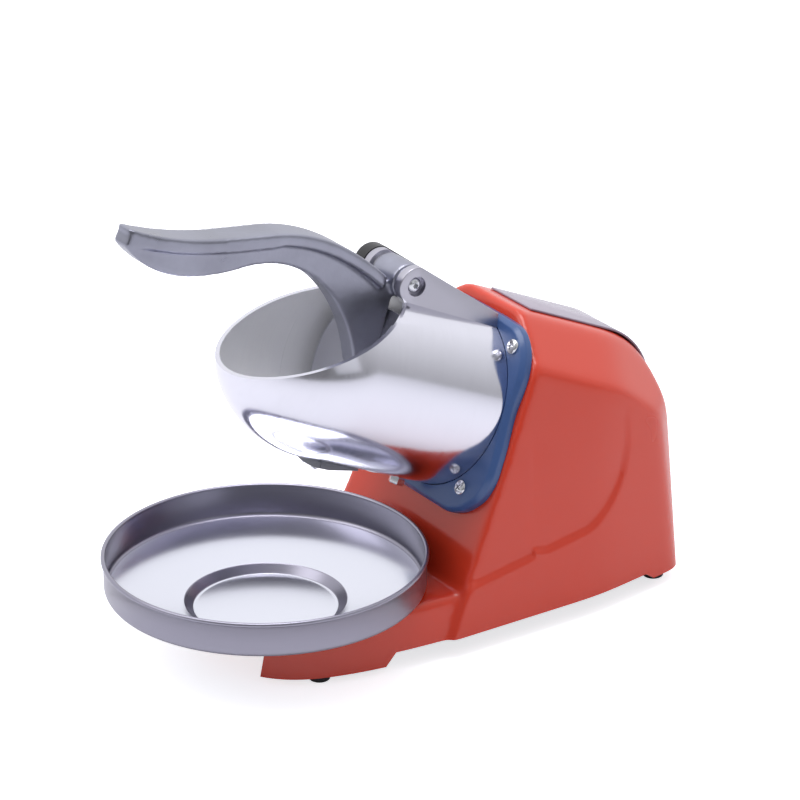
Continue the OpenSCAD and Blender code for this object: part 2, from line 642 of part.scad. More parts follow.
module bowl() {
    recess = 5;
    bead = 1.5;
    corner = [foot_r, 47.8];        // middle of the arc between wall and floor, and its radius
    corner_r = 4;
    lean = atan(dish_slope);
    wall_r = bowl_r - bead;
    lip = [wall_r, bowl_top - bead];
    up = bowl_t / cos(lean);
    inside = concat([[0, dish_z + up - recess], [46.6, dish_z + up - recess], [51.5, dish_z + up - 0.4],
        [dish_r + 1, dish_z + up + dish_slope]], arc(corner, corner_r - bowl_t, lean - 90, -6, 5),
        [lip - [0.7, 0.3]]);
    outside = concat(arc(lip, bead, 160, -20, 9), [[wall_r, lip[1] - 1.6]],
        reversed(arc(corner, corner_r, lean - 90, -6, 5)), [[dish_r, dish_z], [51.9, dish_z - 0.4],
        [47.2, dish_z - recess], [0, dish_z - recess]]);
    color("silver") translate([0, bowl_y, 0]) rotate_extrude($fn = 128) polygon(concat(inside, outside));
}

housing();
top_panel();
base_plate();
base_screws();
rubber_feet();
foot_screws();
trim_pad();
trim_screws();
hopper();
ice_spout();
spout_screws();
clamp_bolt();
switch_cover();
micro_switch();
switch_plunger();
switch_cam();
motor_can();
motor_end_cap();
motor_magnets();
motor_screws();
front_bearing();
rear_bearing();
brushes();
rectifier_board();
board_screws();
cord_gland();
rocker_frame();
rocker();
motor_shaft();
armature();
commutator();
cooling_fan();
blade_disc();
blades();
blade_screws();
disc_nut();
lever();
hinge_pin();
hinge_spacers();
hinge_screw();
pusher_plate();
pusher_screws();
bowl();
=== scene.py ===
"""Looks of an electric ice shaver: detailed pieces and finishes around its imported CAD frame.

Lengths inside the classes are millimetres in the machine's frame; finished meshes are in metres.
"""
import json
import logging
import math
from dataclasses import dataclass
from enum import Enum
from typing import Callable, Iterable, Sequence

import bmesh
import bpy
from bmesh.types import BMEdge, BMesh
from mathutils import Matrix, Vector


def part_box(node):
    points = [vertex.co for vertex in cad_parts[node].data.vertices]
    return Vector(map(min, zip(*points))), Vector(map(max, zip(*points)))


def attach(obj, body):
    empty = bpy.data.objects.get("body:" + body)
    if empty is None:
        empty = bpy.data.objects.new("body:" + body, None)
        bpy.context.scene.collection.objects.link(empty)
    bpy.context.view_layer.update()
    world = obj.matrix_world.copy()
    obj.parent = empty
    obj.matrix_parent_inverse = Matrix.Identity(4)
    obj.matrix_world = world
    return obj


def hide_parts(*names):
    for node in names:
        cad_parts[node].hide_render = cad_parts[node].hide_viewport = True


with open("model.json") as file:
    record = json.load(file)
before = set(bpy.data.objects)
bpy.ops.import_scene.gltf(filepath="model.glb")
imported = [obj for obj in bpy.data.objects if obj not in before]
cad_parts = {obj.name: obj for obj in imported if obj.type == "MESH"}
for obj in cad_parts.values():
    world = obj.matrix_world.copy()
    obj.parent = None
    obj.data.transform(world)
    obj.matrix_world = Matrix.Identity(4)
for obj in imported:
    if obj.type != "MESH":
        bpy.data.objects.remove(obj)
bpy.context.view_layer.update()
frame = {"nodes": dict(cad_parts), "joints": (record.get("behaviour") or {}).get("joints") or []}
LOG = logging.getLogger("ice_shaver")
MM = 0.001
Point2 = tuple[float, float]
Point3 = tuple[float, float, float]
# Stands an outline drawn as (Y, Z) upright, with its thickness along X
UPRIGHT = Matrix(((0, 0, 1, 0), (1, 0, 0, 0), (0, 1, 0, 0), (0, 0, 0, 1)))


# ---- The machine's frame -------------------------------------------------------------------------

def joint_named(name: str) -> dict:
    """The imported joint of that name."""
    return next(j for j in frame["joints"] if j["name"] == name)


@dataclass(frozen=True)
class TiltedAxis:
    """The axis that hopper, trim, disc and motor share.

    Its own frame has +Z forward along the axis, +Y up across it and the machine's +X.
    """

    forward: Vector
    origin: Vector

    @classmethod
    def from_frame(cls) -> "TiltedAxis":
        """Works the axis out from the blade's joint and the place of the trim pad's front face."""
        spin = joint_named("blade_spin")
        forward = Vector(spin["axis"]).normalized()
        disc_centre = Vector(spin["pos_m"]) / MM
        return cls(forward, disc_centre - 66.0 * forward)

    @property
    def matrix(self) -> Matrix:
        """Turns the axis frame's millimetres into the machine's."""
        across = Vector((1, 0, 0))
        up = self.forward.cross(across)
        turn = Matrix((across, up, self.forward)).transposed().to_4x4()
        return Matrix.Translation(self.origin) @ turn

    def point(self, x: float, up: float, along: float) -> Vector:
        """A point given in the axis frame, in the machine's frame."""
        return self.matrix @ Vector((x, up, along))


AXIS = TiltedAxis.from_frame()
HINGE = Vector(joint_named("press_lever")["pos_m"]) / MM


# ---- Mesh tools ----------------------------------------------------------------------------------

class Cut(Enum):
    """What a tool does to the piece it meets."""

    TAKE_AWAY = "DIFFERENCE"
    JOIN = "UNION"
    KEEP_COMMON = "INTERSECT"


def finished(bm: BMesh, name: str, place: Matrix = Matrix(), smooth: float = 35.0) -> bpy.types.Object:
    """Turns a millimetre bmesh into an object at the origin, in metres.

    Args:
        bm: the mesh, which is freed.
        name: the object's name.
        place: where it goes, in millimetres.
        smooth: edges flatter than this angle in degrees shade smooth.

    Returns:
        The new object.
    """
    bmesh.ops.transform(bm, matrix=Matrix.Scale(MM, 4) @ place, verts=bm.verts)
    bmesh.ops.recalc_face_normals(bm, faces=bm.faces)
    for face in bm.faces:
        face.smooth = True
    for edge in bm.edges:
        edge.smooth = len(edge.link_faces) == 2 and edge.calc_face_angle(0.0) < math.radians(smooth)
    mesh = bpy.data.meshes.new(name)
    bm.to_mesh(mesh)
    bm.free()
    piece = bpy.data.objects.new(name, mesh)
    bpy.context.scene.collection.objects.link(piece)
    return piece


def settle(piece: bpy.types.Object) -> bpy.types.Object:
    """Applies a piece's modifiers to its mesh."""
    depsgraph = bpy.context.evaluated_depsgraph_get()
    mesh = bpy.data.meshes.new_from_object(piece.evaluated_get(depsgraph))
    piece.modifiers.clear()
    piece.data = mesh
    return piece


def work(piece: bpy.types.Object, tool: bpy.types.Object, how: Cut) -> bpy.types.Object:
    """Cuts or joins a piece with a tool, which is used up.

    Args:
        piece: the piece that stays.
        tool: the object that it meets.
        how: what the tool does.

    Returns:
        The piece.
    """
    step = piece.modifiers.new("work", "BOOLEAN")
    step.operation = how.value
    step.solver = "EXACT"
    step.object = tool
    settle(piece)
    bpy.data.objects.remove(tool)
    return piece


def reshade(piece: bpy.types.Object, smooth: float = 35.0) -> bpy.types.Object:
    """Merges doubles and marks sharp edges again after a piece was cut."""
    bm = bmesh.new()
    bm.from_mesh(piece.data)
    bmesh.ops.remove_doubles(bm, verts=bm.verts, dist=0.00002)
    for face in bm.faces:
        face.smooth = True
    for edge in bm.edges:
        edge.smooth = len(edge.link_faces) == 2 and edge.calc_face_angle(0.0) < math.radians(smooth)
    bm.to_mesh(piece.data)
    bm.free()
    return piece


def soften(piece: bpy.types.Object, rounds: int) -> None:
    """Smooths a piece's surface a number of times over."""
    bm = bmesh.new()
    bm.from_mesh(piece.data)
    for _ in range(rounds):
        bmesh.ops.smooth_vert(bm, verts=bm.verts, factor=0.5, use_axis_x=True, use_axis_y=True,
                              use_axis_z=True)
    bm.to_mesh(piece.data)
    bm.free()


def round_edges(bm: BMesh, edges: Iterable[BMEdge], radius: float, segments: int = 4) -> None:
    """Rounds edges with an arc-like bevel."""
    bmesh.ops.bevel(bm, geom=list(edges), offset=radius, offset_type="OFFSET", segments=segments, profile=0.5,
                    affect="EDGES", clamp_overlap=True, material=-1)


def sharp_edges(bm: BMesh, angle: float = 40.0) -> list[BMEdge]:
    """Edges at which the surface turns by more than an angle in degrees."""
    return [e for e in bm.edges if len(e.link_faces) == 2 and e.calc_face_angle(0.0) > math.radians(angle)]


def plate(outline: Sequence[Point2], low: float, high: float) -> BMesh:
    """A flat outline raised from one height to another along Z."""
    bm = bmesh.new()
    face = bm.faces.new([bm.verts.new((x, y, low)) for x, y in outline])
    raised = bmesh.ops.extrude_face_region(bm, geom=[face])
    top = [v for v in raised["geom"] if isinstance(v, bmesh.types.BMVert)]
    bmesh.ops.translate(bm, vec=(0, 0, high - low), verts=top)
    bmesh.ops.recalc_face_normals(bm, faces=bm.faces)
    return bm


def turned(profile: Sequence[Point2], steps: int = 96, angle: float = 360.0) -> BMesh:
    """Spins a profile of (radius, height) points about Z; a full turn of a closed one makes a solid."""
    bm = bmesh.new()
    verts = [bm.verts.new((r, 0, z)) for r, z in profile]
    edges = [bm.edges.new(pair) for pair in zip(verts, verts[1:] + verts[:1])]
    full = angle >= 360.0
    geom = verts + edges if full else [bm.faces.new(verts)]
    bmesh.ops.spin(bm, geom=geom, cent=(0, 0, 0), axis=(0, 0, 1), angle=math.radians(angle), steps=steps,
                   use_merge=full, use_duplicate=False)
    bmesh.ops.remove_doubles(bm, verts=bm.verts, dist=0.001)
    bmesh.ops.dissolve_degenerate(bm, edges=bm.edges, dist=0.0005)
    bmesh.ops.recalc_face_normals(bm, faces=bm.faces)
    return bm


def rod(radius: float, low: float, high: float, segments: int = 64) -> BMesh:
    """A round bar along Z."""
    bm = bmesh.new()
    bmesh.ops.create_cone(bm, cap_ends=True, segments=segments, radius1=radius, radius2=radius,
                          depth=high - low, matrix=Matrix.Translation((0, 0, (low + high) / 2)))
    return bm


def block(low: Point3, high: Point3) -> BMesh:
    """A box between two corners."""
    bm = bmesh.new()
    size = Vector(high) - Vector(low)
    bmesh.ops.create_cube(bm, size=1, matrix=Matrix.Translation((Vector(low) + Vector(high)) / 2) @
                          Matrix.Diagonal((*size, 1)))
    return bm


def arc(centre: Point2, radius: float, start: float, end: float, steps: int) -> list[Point2]:
    """Points along an arc, with angles in degrees."""
    angles = [math.radians(start + (end - start) * i / steps) for i in range(steps + 1)]
    return [(centre[0] + radius * math.cos(t), centre[1] + radius * math.sin(t)) for t in angles]


def bezier(handles: Sequence[Point2], steps: int) -> list[Point2]:
    """Points along a cubic curve with four handles."""
    curve = []
    for i in range(steps + 1):
        t = i / steps
        weights = ((1 - t) ** 3, 3 * t * (1 - t) ** 2, 3 * t * t * (1 - t), t ** 3)
        curve.append(tuple(sum(w * h[k] for w, h in zip(weights, handles)) for k in (0, 1)))
    return curve


def soft_block(walls: Sequence[tuple[Vector, Vector]], centre: Vector, crispness: float,
               cuts: int) -> BMesh:
    """A closed body bounded by flat walls whose shared edges run smoothly into each other.

    Args:
        walls: for each wall its outward direction and a point on it.
        centre: a point inside the body.
        crispness: how tightly the edges are rounded; higher is tighter.
        cuts: subdivisions along each side of the starting cube.

    Returns:
        The body as a bmesh.
    """
    bm = bmesh.new()
    bmesh.ops.create_cube(bm, size=2)
    bmesh.ops.subdivide_edges(bm, edges=bm.edges, cuts=cuts, use_grid_fill=True)
    planes = [(n.normalized(), n.normalized().dot(p - centre)) for n, p in walls]
    reach = [max(abs(p[k] - centre[k]) for _, p in walls) for k in range(3)]
    for vert in bm.verts:
        ray = Vector([math.sin(c * math.pi / 2) * r for c, r in zip(vert.co, reach)]).normalized()
        total = sum(max(0.0, n.dot(ray) / d) ** crispness for n, d in planes)
        vert.co = centre + ray * total ** (-1 / crispness)
    return bm


# ---- Finishes ------------------------------------------------------------------------------------

class Nodes:
    """Short hands for wiring one node tree."""

    def __init__(self, tree: bpy.types.NodeTree) -> None:
        """Keeps the tree that is wired."""
        self.tree = tree

    def add(self, kind: str, **values: object) -> bpy.types.Node:
        """Adds a node; keyword values set its properties, or its inputs where a socket has that name."""
        node = self.tree.nodes.new(kind)
        for key, value in values.items():
            socket = node.inputs.get(key.replace("_", " ")) if key[0].isupper() else None
            if socket is not None:
                socket.default_value = value
            else:
                setattr(node, key, value)
        return node

    def link(self, source: bpy.types.NodeSocket, target: bpy.types.NodeSocket) -> None:
        """Wires one socket to another."""
        self.tree.links.new(source, target)

    def math(self, operation: str, first: object, second: object = 0.0) -> bpy.types.NodeSocket:
        """A math node whose two inputs are sockets or numbers; returns its output."""
        node = self.add("ShaderNodeMath", operation=operation)
        for socket, value in zip(node.inputs, (first, second)):
            if isinstance(value, bpy.types.NodeSocket):
                self.link(value, socket)
            else:
                socket.default_value = value
        return node.outputs[0]


def new_group(name: str, inputs: dict[str, float], outputs: dict[str, str]) -> tuple[
        bpy.types.NodeTree, Nodes, bpy.types.Node, bpy.types.Node]:
    """Starts a shader node group with named float inputs and named outputs.

    Returns:
        The group, its wiring helper, and its input and output nodes.
    """
    group = bpy.data.node_groups.new(name, "ShaderNodeTree")
    group.interface.new_socket("Vector", in_out="INPUT", socket_type="NodeSocketVector")
    for label, value in inputs.items():
        group.interface.new_socket(label, in_out="INPUT", socket_type="NodeSocketFloat").default_value = value
    for label, kind in outputs.items():
        group.interface.new_socket(label, in_out="OUTPUT", socket_type=kind)
    nodes = Nodes(group)
    return group, nodes, nodes.add("NodeGroupInput"), nodes.add("NodeGroupOutput")


def grain_group() -> bpy.types.NodeTree:
    """Fine surface grain with sparse pits: Height for a bump and Mask for roughness and colour."""
    group, n, start, end = new_group("SurfaceGrain", {"Scale": 400.0, "Pits": 0.3, "Patches": 12.0},
                                     {"Height": "NodeSocketFloat", "Mask": "NodeSocketFloat"})
    fine = n.add("ShaderNodeTexNoise", Detail=4.0, Roughness=0.6)
    n.link(start.outputs["Vector"], fine.inputs["Vector"])
    n.link(start.outputs["Scale"], fine.inputs["Scale"])
    patches = n.add("ShaderNodeTexNoise", Detail=3.0, Roughness=0.5)
    n.link(start.outputs["Vector"], patches.inputs["Vector"])
    n.link(start.outputs["Patches"], patches.inputs["Scale"])
    cells = n.add("ShaderNodeTexVoronoi")
    n.link(start.outputs["Vector"], cells.inputs["Vector"])
    n.link(n.math("MULTIPLY", start.outputs["Scale"], 0.35), cells.inputs["Scale"])
    pit = n.math("LESS_THAN", cells.outputs["Distance"], 0.12)
    pit = n.math("MULTIPLY", n.math("MULTIPLY", pit, start.outputs["Pits"]),
                 n.math("GREATER_THAN", patches.outputs["Fac"], 0.52))
    n.link(n.math("SUBTRACT", fine.outputs["Fac"], pit), end.inputs["Height"])
    n.link(n.math("MULTIPLY", n.math("SUBTRACT", patches.outputs["Fac"], 0.5), 2.0), end.inputs["Mask"])
    return group


def turned_group() -> bpy.types.NodeTree:
    """Rings left by turning or brushing about local Z: Height for a bump and Mask for roughness."""
    group, n, start, end = new_group("TurnedBrush", {"Rings": 3000.0, "Breaks": 3.0},
                                     {"Height": "NodeSocketFloat", "Mask": "NodeSocketFloat"})
    parts = n.add("ShaderNodeSeparateXYZ")
    n.link(start.outputs["Vector"], parts.inputs[0])
    flat = n.add("ShaderNodeCombineXYZ")
    n.link(parts.outputs["X"], flat.inputs["X"])
    n.link(parts.outputs["Y"], flat.inputs["Y"])
    length = n.add("ShaderNodeVectorMath", operation="LENGTH")
    n.link(flat.outputs[0], length.inputs[0])
    unit = n.add("ShaderNodeVectorMath", operation="NORMALIZE")
    n.link(flat.outputs[0], unit.inputs[0])
    turn = n.add("ShaderNodeVectorMath", operation="SCALE")
    n.link(unit.outputs[0], turn.inputs[0])
    n.link(start.outputs["Breaks"], turn.inputs["Scale"])
    place = n.math("ADD", length.outputs["Value"], parts.outputs["Z"])
    ring = n.math("MULTIPLY", place, start.outputs["Rings"])
    place = n.add("ShaderNodeCombineXYZ")
    n.link(ring, place.inputs["Z"])
    moved = n.add("ShaderNodeVectorMath", operation="ADD")
    n.link(turn.outputs[0], moved.inputs[0])
    n.link(place.outputs[0], moved.inputs[1])
    noise = n.add("ShaderNodeTexNoise", Detail=3.0, Roughness=0.7, Scale=1.0)
    n.link(moved.outputs[0], noise.inputs["Vector"])
    n.link(noise.outputs["Fac"], end.inputs["Height"])
    n.link(n.math("MULTIPLY", n.math("SUBTRACT", noise.outputs["Fac"], 0.5), 2.0), end.inputs["Mask"])
    return group


GROUPS: dict[str, bpy.types.NodeTree] = {}
MATERIALS: dict[str, bpy.types.Material] = {}


def shared_group(make: Callable[[], bpy.types.NodeTree]) -> bpy.types.NodeTree:
    """A node group that is made once and placed in every material that asks for it."""
    if make.__name__ not in GROUPS:
        GROUPS[make.__name__] = make()
    return GROUPS[make.__name__]


@dataclass(frozen=True)
class Finish:
    """One material: its colour, gloss and the fine structure that breaks it up.

    Colours are linear. `swing` is how far the colour moves with the patches, `roughness_swing` the
    same for the roughness, and `depth` is the bump's depth in metres.
    """

    name: str
    colour: Point3
    roughness: float
    metallic: float = 0.0
    swing: float = 0.05
    roughness_swing: float = 0.05
    grain: float = 500.0
    pits: float = 0.0
    patches: float = 14.0
    depth: float = 0.00001
    rings: float = 0.0
    breaks: float = 3.0
    turned_about: tuple[Point3, Point3] = ((0, 0, 0), (0, 0, 0))
    coat: float = 0.0
    coat_roughness: float = 0.05
    specular: float = 0.5

    def material(self) -> bpy.types.Material:
        """The material, built once."""
        if self.name not in MATERIALS:
            MATERIALS[self.name] = self._build()
        return MATERIALS[self.name]

    def _build(self) -> bpy.types.Material:
        """Wires the material's node tree."""
        material = bpy.data.materials.new(self.name)
        material.use_nodes = True
        n = Nodes(material.node_tree)
        shader = material.node_tree.nodes["Principled BSDF"]
        shader.inputs["Metallic"].default_value = self.metallic
        shader.inputs["Coat Weight"].default_value = self.coat
        shader.inputs["Coat Roughness"].default_value = self.coat_roughness
        shader.inputs["Specular IOR Level"].default_value = self.specular
        place = n.add("ShaderNodeTexCoord")
        vector = place.outputs["Object"]
        grain = n.add("ShaderNodeGroup", node_tree=shared_group(grain_group))
        n.link(vector, grain.inputs["Vector"])
        grain.inputs["Scale"].default_value = self.grain
        grain.inputs["Pits"].default_value = self.pits
        grain.inputs["Patches"].default_value = self.patches
        height, mask = grain.outputs["Height"], grain.outputs["Mask"]
        if self.rings:
            centre, turn = self.turned_about
            mapping = n.add("ShaderNodeMapping", vector_type="TEXTURE")
            mapping.inputs["Location"].default_value = centre
            mapping.inputs["Rotation"].default_value = turn
            n.link(vector, mapping.inputs["Vector"])
            brush = n.add("ShaderNodeGroup", node_tree=shared_group(turned_group))
            n.link(mapping.outputs[0], brush.inputs["Vector"])
            brush.inputs["Rings"].default_value = self.rings
            brush.inputs["Breaks"].default_value = self.breaks
            height = n.math("ADD", n.math("MULTIPLY", brush.outputs["Height"], 0.8),
                            n.math("MULTIPLY", height, 0.2))
            mask = n.math("ADD", n.math("MULTIPLY", brush.outputs["Mask"], 0.6),
                          n.math("MULTIPLY", mask, 0.6))
        ramp = n.add("ShaderNodeMix", data_type="RGBA")
        ramp.inputs["A"].default_value = (*(c * (1 - self.swing) for c in self.colour), 1)
        ramp.inputs["B"].default_value = (*(min(1.0, c * (1 + self.swing)) for c in self.colour), 1)
        n.link(n.math("ADD", n.math("MULTIPLY", mask, 0.5), 0.5), ramp.inputs["Factor"])
        n.link(ramp.outputs["Result"], shader.inputs["Base Color"])
        rough = n.math("ADD", n.math("MULTIPLY", mask, self.roughness_swing), self.roughness)
        n.link(rough, shader.inputs["Roughness"])
        bump = n.add("ShaderNodeBump", Distance=self.depth, Strength=1.0)
        n.link(height, bump.inputs["Height"])
        n.link(bump.outputs[0], shader.inputs["Normal"])
        return material


def about_axis(along: float = 0.0) -> tuple[Point3, Point3]:
    """Mapping place and turn for rings about the tilted axis."""
    place = AXIS.matrix @ Matrix.Translation((0, 0, along))
    return tuple(place.to_translation() * MM), tuple(place.to_euler())


ORANGE = Finish("orange_shell_plastic", (0.66, 0.046, 0.018), 0.26, swing=0.03, roughness_swing=0.04,
                grain=260, patches=9, depth=0.000006, coat=0.22, coat_roughness=0.08)
GREY_PANEL = Finish("grey_panel_plastic", (0.30, 0.25, 0.33), 0.24, swing=0.03, roughness_swing=0.04,
                    grain=300, depth=0.000004, coat=0.2)
TRIM_BLUE = Finish("blue_grey_trim_plastic", (0.045, 0.10, 0.27), 0.3, swing=0.05, roughness_swing=0.05,
                   grain=700, depth=0.000006, coat=0.12, coat_roughness=0.15)
BASE_BLACK = Finish("base_plate_plastic", (0.035, 0.035, 0.04), 0.5, swing=0.2, grain=1500,
                    depth=0.00004)
SATIN_BLACK = Finish("black_cover_plastic", (0.012, 0.012, 0.015), 0.36, swing=0.2, grain=1300,
                     depth=0.00002)
RUBBER = Finish("moulded_rubber", (0.012, 0.012, 0.015), 0.62, swing=0.25, grain=1800, pits=0.2,
                depth=0.00003)
POLISHED = Finish("buffed_aluminium", (0.76, 0.755, 0.84), 0.15, metallic=1.0, swing=0.07,
                  roughness_swing=0.10, grain=420, pits=0.8, patches=26, depth=0.000016, rings=1300,
                  breaks=3.2, turned_about=about_axis())
# Hopper inside: real bored rings, but coloured near-white and mostly non-metallic as painted light,
# brightening the inside that the lamps barely reach
LIT_BORED = Finish("bored_aluminium_painted_light", (0.96, 0.96, 1.0), 0.42, metallic=0.25, swing=0.09,
               roughness_swing=0.12, grain=420, pits=0.5, patches=30, depth=0.00003, rings=900,
               breaks=2.6, turned_about=about_axis())
CAST = Finish("sand_cast_aluminium", (0.32, 0.325, 0.395), 0.33, metallic=1.0, swing=0.34,
              roughness_swing=0.16, grain=300, pits=1.0, patches=34, depth=0.00012)
DARK_CAST = Finish("dark_cast_alloy", (0.16, 0.165, 0.19), 0.42, metallic=1.0, swing=0.15, grain=700,
                   pits=0.6, depth=0.00006)
EAR_SATIN = Finish("satin_aluminium", (0.50, 0.49, 0.56), 0.32, metallic=1.0, swing=0.06, grain=600,
                   pits=0.3, patches=30, depth=0.00002)
ZINC = Finish("bright_zinc_steel", (0.72, 0.73, 0.77), 0.2, metallic=1.0, swing=0.06, grain=900,
              depth=0.000008)
# Blade disc and blades: real ground rings, but coloured near-white and mostly non-metallic as painted light,
# brightening the disc inside the hopper
LIT_GROUND = Finish("ground_steel", (0.95, 0.95, 1.0), 0.42, metallic=0.3, swing=0.05, grain=700,
                depth=0.000012, rings=1500, breaks=1.2, turned_about=about_axis())
PRESSER = Finish("pusher_casting", (0.6, 0.6, 0.66), 0.36, metallic=1.0, swing=0.08, grain=520,
                 pits=0.4, depth=0.00003)
# Bowl wall: the same steel as the bowl floor, coloured darker as painted shade; its brushed rings are real
SHADED_BOWL_STEEL = Finish("brushed_bowl_steel_painted_shade", (0.33, 0.32, 0.39), 0.30, metallic=1.0, swing=0.05,
                   roughness_swing=0.07, grain=800, depth=0.00001, rings=2200, breaks=2.0,
                   turned_about=((0.0, -0.0915, 0.0), (0, 0, 0)))
# Bowl floor: the same steel as the wall, coloured brighter as painted light from above
LIT_BOWL_FLOOR = Finish("stainless_floor_painted_light", (0.80, 0.81, 0.90), 0.15, metallic=1.0, swing=0.03,
                    roughness_swing=0.04, grain=500, depth=0.000003, rings=1200, breaks=2.0,
                    turned_about=((0.0, -0.0915, 0.0), (0, 0, 0)))
MOTOR_STEEL = Finish("zinc_plated_can", (0.40, 0.41, 0.43), 0.34, metallic=1.0, swing=0.1, grain=700,
                     depth=0.00002)
MAGNET = Finish("ferrite_magnet", (0.06, 0.06, 0.065), 0.6, metallic=0.3, swing=0.2, grain=1500,
                depth=0.00004)
COPPER = Finish("enamelled_copper", (0.62, 0.27, 0.12), 0.3, metallic=1.0, swing=0.15, grain=900,
                depth=0.00004)
BOARD = Finish("lacquered_board", (0.02, 0.16, 0.06), 0.35, swing=0.15, grain=900, depth=0.00001,
               coat=0.4)
SWITCH_RED = Finish("red_rocker_plastic", (0.50, 0.02, 0.015), 0.28, swing=0.05, grain=900,
                    depth=0.00001, coat=0.3)
NYLON = Finish("white_nylon", (0.78, 0.77, 0.73), 0.42, swing=0.04, grain=1200, depth=0.00002)


def paint(piece: bpy.types.Object, *finishes: Finish) -> bpy.types.Object:
    """Gives a piece its finishes, one for each material slot."""
    piece.data.materials.clear()
    for finish in finishes:
        piece.data.materials.append(finish.material())
    return piece


def place_piece(piece: bpy.types.Object, body: str, slot: str, *nodes: str) -> None:
    """Rides a finished piece on its body, hides the CAD nodes it stands for, and reports it; its slot is not
    used.
    """
    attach(piece, body)
    if nodes:
        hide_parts(*nodes)
    LOG.info("%s: %d faces on %s", piece.name, len(piece.data.polygons), body)


# ---- Housing -------------------------------------------------------------------------------------

@dataclass
class HousingShell:
    """The orange moulding: a rounded body over the motor and a low tongue under the bowl."""

    wall: float = 3.0
    front: float = -8.0
    top: float = 70.0
    crown_radius: float = 54.0
    floor: float = 8.0
    ledge: float = 40.5
    rear: float = 195.0
    bowl_y: float = -91.5
    grain_size: float = 1.9
    crease: tuple[Point2, Point2] = ((14.0, 45.0), (75.0, 54.5))
    crease_circle: tuple[Point2, float] = ((84.0, 116.0), 62.0)
    crease_depth: float = 2.2
    softening: int = 3
    arch_half: float = 43.0
    arch_back: float = -110.5
    arch_top: float = 24.0

    def crown_centre(self) -> Point2:
        """Centre of the arc over which the flat top turns down to the rear, as (Y, Z)."""
        y = self.rear - self.crown_radius
        lean = math.atan2(AXIS.forward.z, -AXIS.forward.y)
        rise = self.top - self.crown_radius - (y - AXIS.origin.y) * math.sin(lean)
        return y, AXIS.origin.z + rise / math.cos(lean)

    def body_walls(self) -> list[tuple[Vector, Vector]]:
        """Walls of the upper body, as outward direction and point."""
        up = AXIS.matrix.to_3x3() @ Vector((0, 1, 0))
        walls = [(AXIS.forward, AXIS.point(0, 0, self.front)), (up, AXIS.point(0, self.top, 0)),
                 (Vector((0, 0, -1)), Vector((0, 90, -30))),
                 (Vector((0, 1, 0)), Vector((0, self.rear, 60)))]
        y, z = self.crown_centre()
        for degrees in (12, 33, 52):
            out = Vector((0, math.cos(math.radians(degrees)), math.sin(math.radians(degrees))))
            walls.append((out, Vector((0, y, z)) + self.crown_radius * out))
        for side in (-1, 1):
            shoulder = (0.62 * Vector((side, 0, 0)) + 0.785 * up)
            walls += [
                (shoulder, AXIS.point(side * 31, self.top, 0)),
                (Vector((side, 0.02, 0.085)), Vector((side * 77.6, 45, 60))),
                (Vector((side, 0.19, 0.07)), Vector((side * 72.5, 140, 60))),
                (Vector((side * 0.72, 0.66, 0.10)), Vector((side * 62.5, 186, 50))),
                (Vector((side * 0.62, 0.52, 0.55)), Vector((side * 60, 163, 134))),
            ]
        return walls

    def tongue_walls(self) -> list[tuple[Vector, Vector]]:
        """Walls of the tongue, as outward direction and point."""
        walls = [(Vector((0, 0, 1)), Vector((0, 0, self.ledge))), (Vector((0, 0, -1)), Vector((0, 0, -30))),
                 (Vector((0, 1, 0)), Vector((0, 60, 0))), (Vector((0, -1, 0.16)), Vector((0, -134.5, 8)))]
        for side in (-1, 1):
            walls += [
                (Vector((side, -0.02, 0.17)), Vector((side * 80.5, 0, 5))),
                (Vector((side, -0.16, 0.17)), Vector((side * 76.5, -55, 5))),
                (Vector((side * 0.93, -0.36, 0.17)), Vector((side * 69, -88, 5))),
                (Vector((side * 0.72, -0.69, 0.17)), Vector((side * 56, -113, 5))),
                (Vector((side * 0.36, -0.93, 0.17)), Vector((side * 32, -130, 5))),
            ]
        return walls

    def above_crease(self, y: float, z: float) -> float:
        """How far a side point lies above the crease line, in millimetres, negative below it."""
        (y0, z0), (y1, z1) = self.crease
        (cy, cz), radius = self.crease_circle
        line = (z - z0 - (z1 - z0) / (y1 - y0) * (y - y0)) * 0.987
        ring = radius - math.hypot(y - cy, z - cz)
        if z >= cz:
            ring = radius - abs(y - cy)
        return min(line, ring) if y > y1 - 10 else line

    def press_crease(self, piece: bpy.types.Object) -> None:
        """Sinks the side panels above the crease, fading out towards the top and the front."""
        for vert in piece.data.vertices:
            x, y, z = (c / MM for c in vert.co)
            depth = self.above_crease(y, z)
            if abs(x) < 45 or depth <= -2 or y < 5:
                continue
            step = min(1.0, max(0.0, (depth + 2.0) / 5.0))
            step = step * step * (3 - 2 * step)
            fade = max(0.0, 1.0 - max(0.0, depth) / 62.0) * min(1.0, max(0.0, (138.0 - z) / 45.0))
            edge = min(1.0, max(0.0, (abs(x) - 45) / 15))
            vert.co.x -= math.copysign(self.crease_depth * step * fade * edge, x) * MM

    def build(self) -> None:
        """Makes the shell."""
        body = finished(soft_block(self.body_walls(), Vector((0, 105, 95)), 55, 110), "housing_shell")
        tongue = finished(soft_block(self.tongue_walls(), Vector((0, -35, 12)), 26, 50), "tongue")
        work(body, tongue, Cut.JOIN)
        ramp = plate([(-28, 30), (4, 36.5), (17, 48.5), (40, 52), (40, 20), (-28, 20)], -71.5, 71.5)
        work(body, finished(ramp, "ramp", UPRIGHT), Cut.JOIN)
        bowl_place = Matrix.Translation((0, self.bowl_y, 0))
        work(body, finished(rod(107.0, self.ledge, 90, 128), "bowl_room", bowl_place), Cut.TAKE_AWAY)
        seat = turned([(0, 27.7), (55, 27.7), (55, 32.7), (105.5, 44.4), (105.5, 60), (0, 60)], 96)
        work(body, finished(seat, "seat", bowl_place), Cut.TAKE_AWAY)
        remesh = body.modifiers.new("even", "REMESH")
        remesh.mode = "VOXEL"
        remesh.voxel_size = self.grain_size * MM
        settle(body)
        soften(body, self.softening)
        self.press_crease(body)
        self.trim_bottom(body)
        for face in body.data.polygons:
            face.use_smooth = True
        self.cut_openings(body)
        reshade(body, 30)
        paint(body, ORANGE)
        place_piece(body, "root", "orange_shell", "housing")

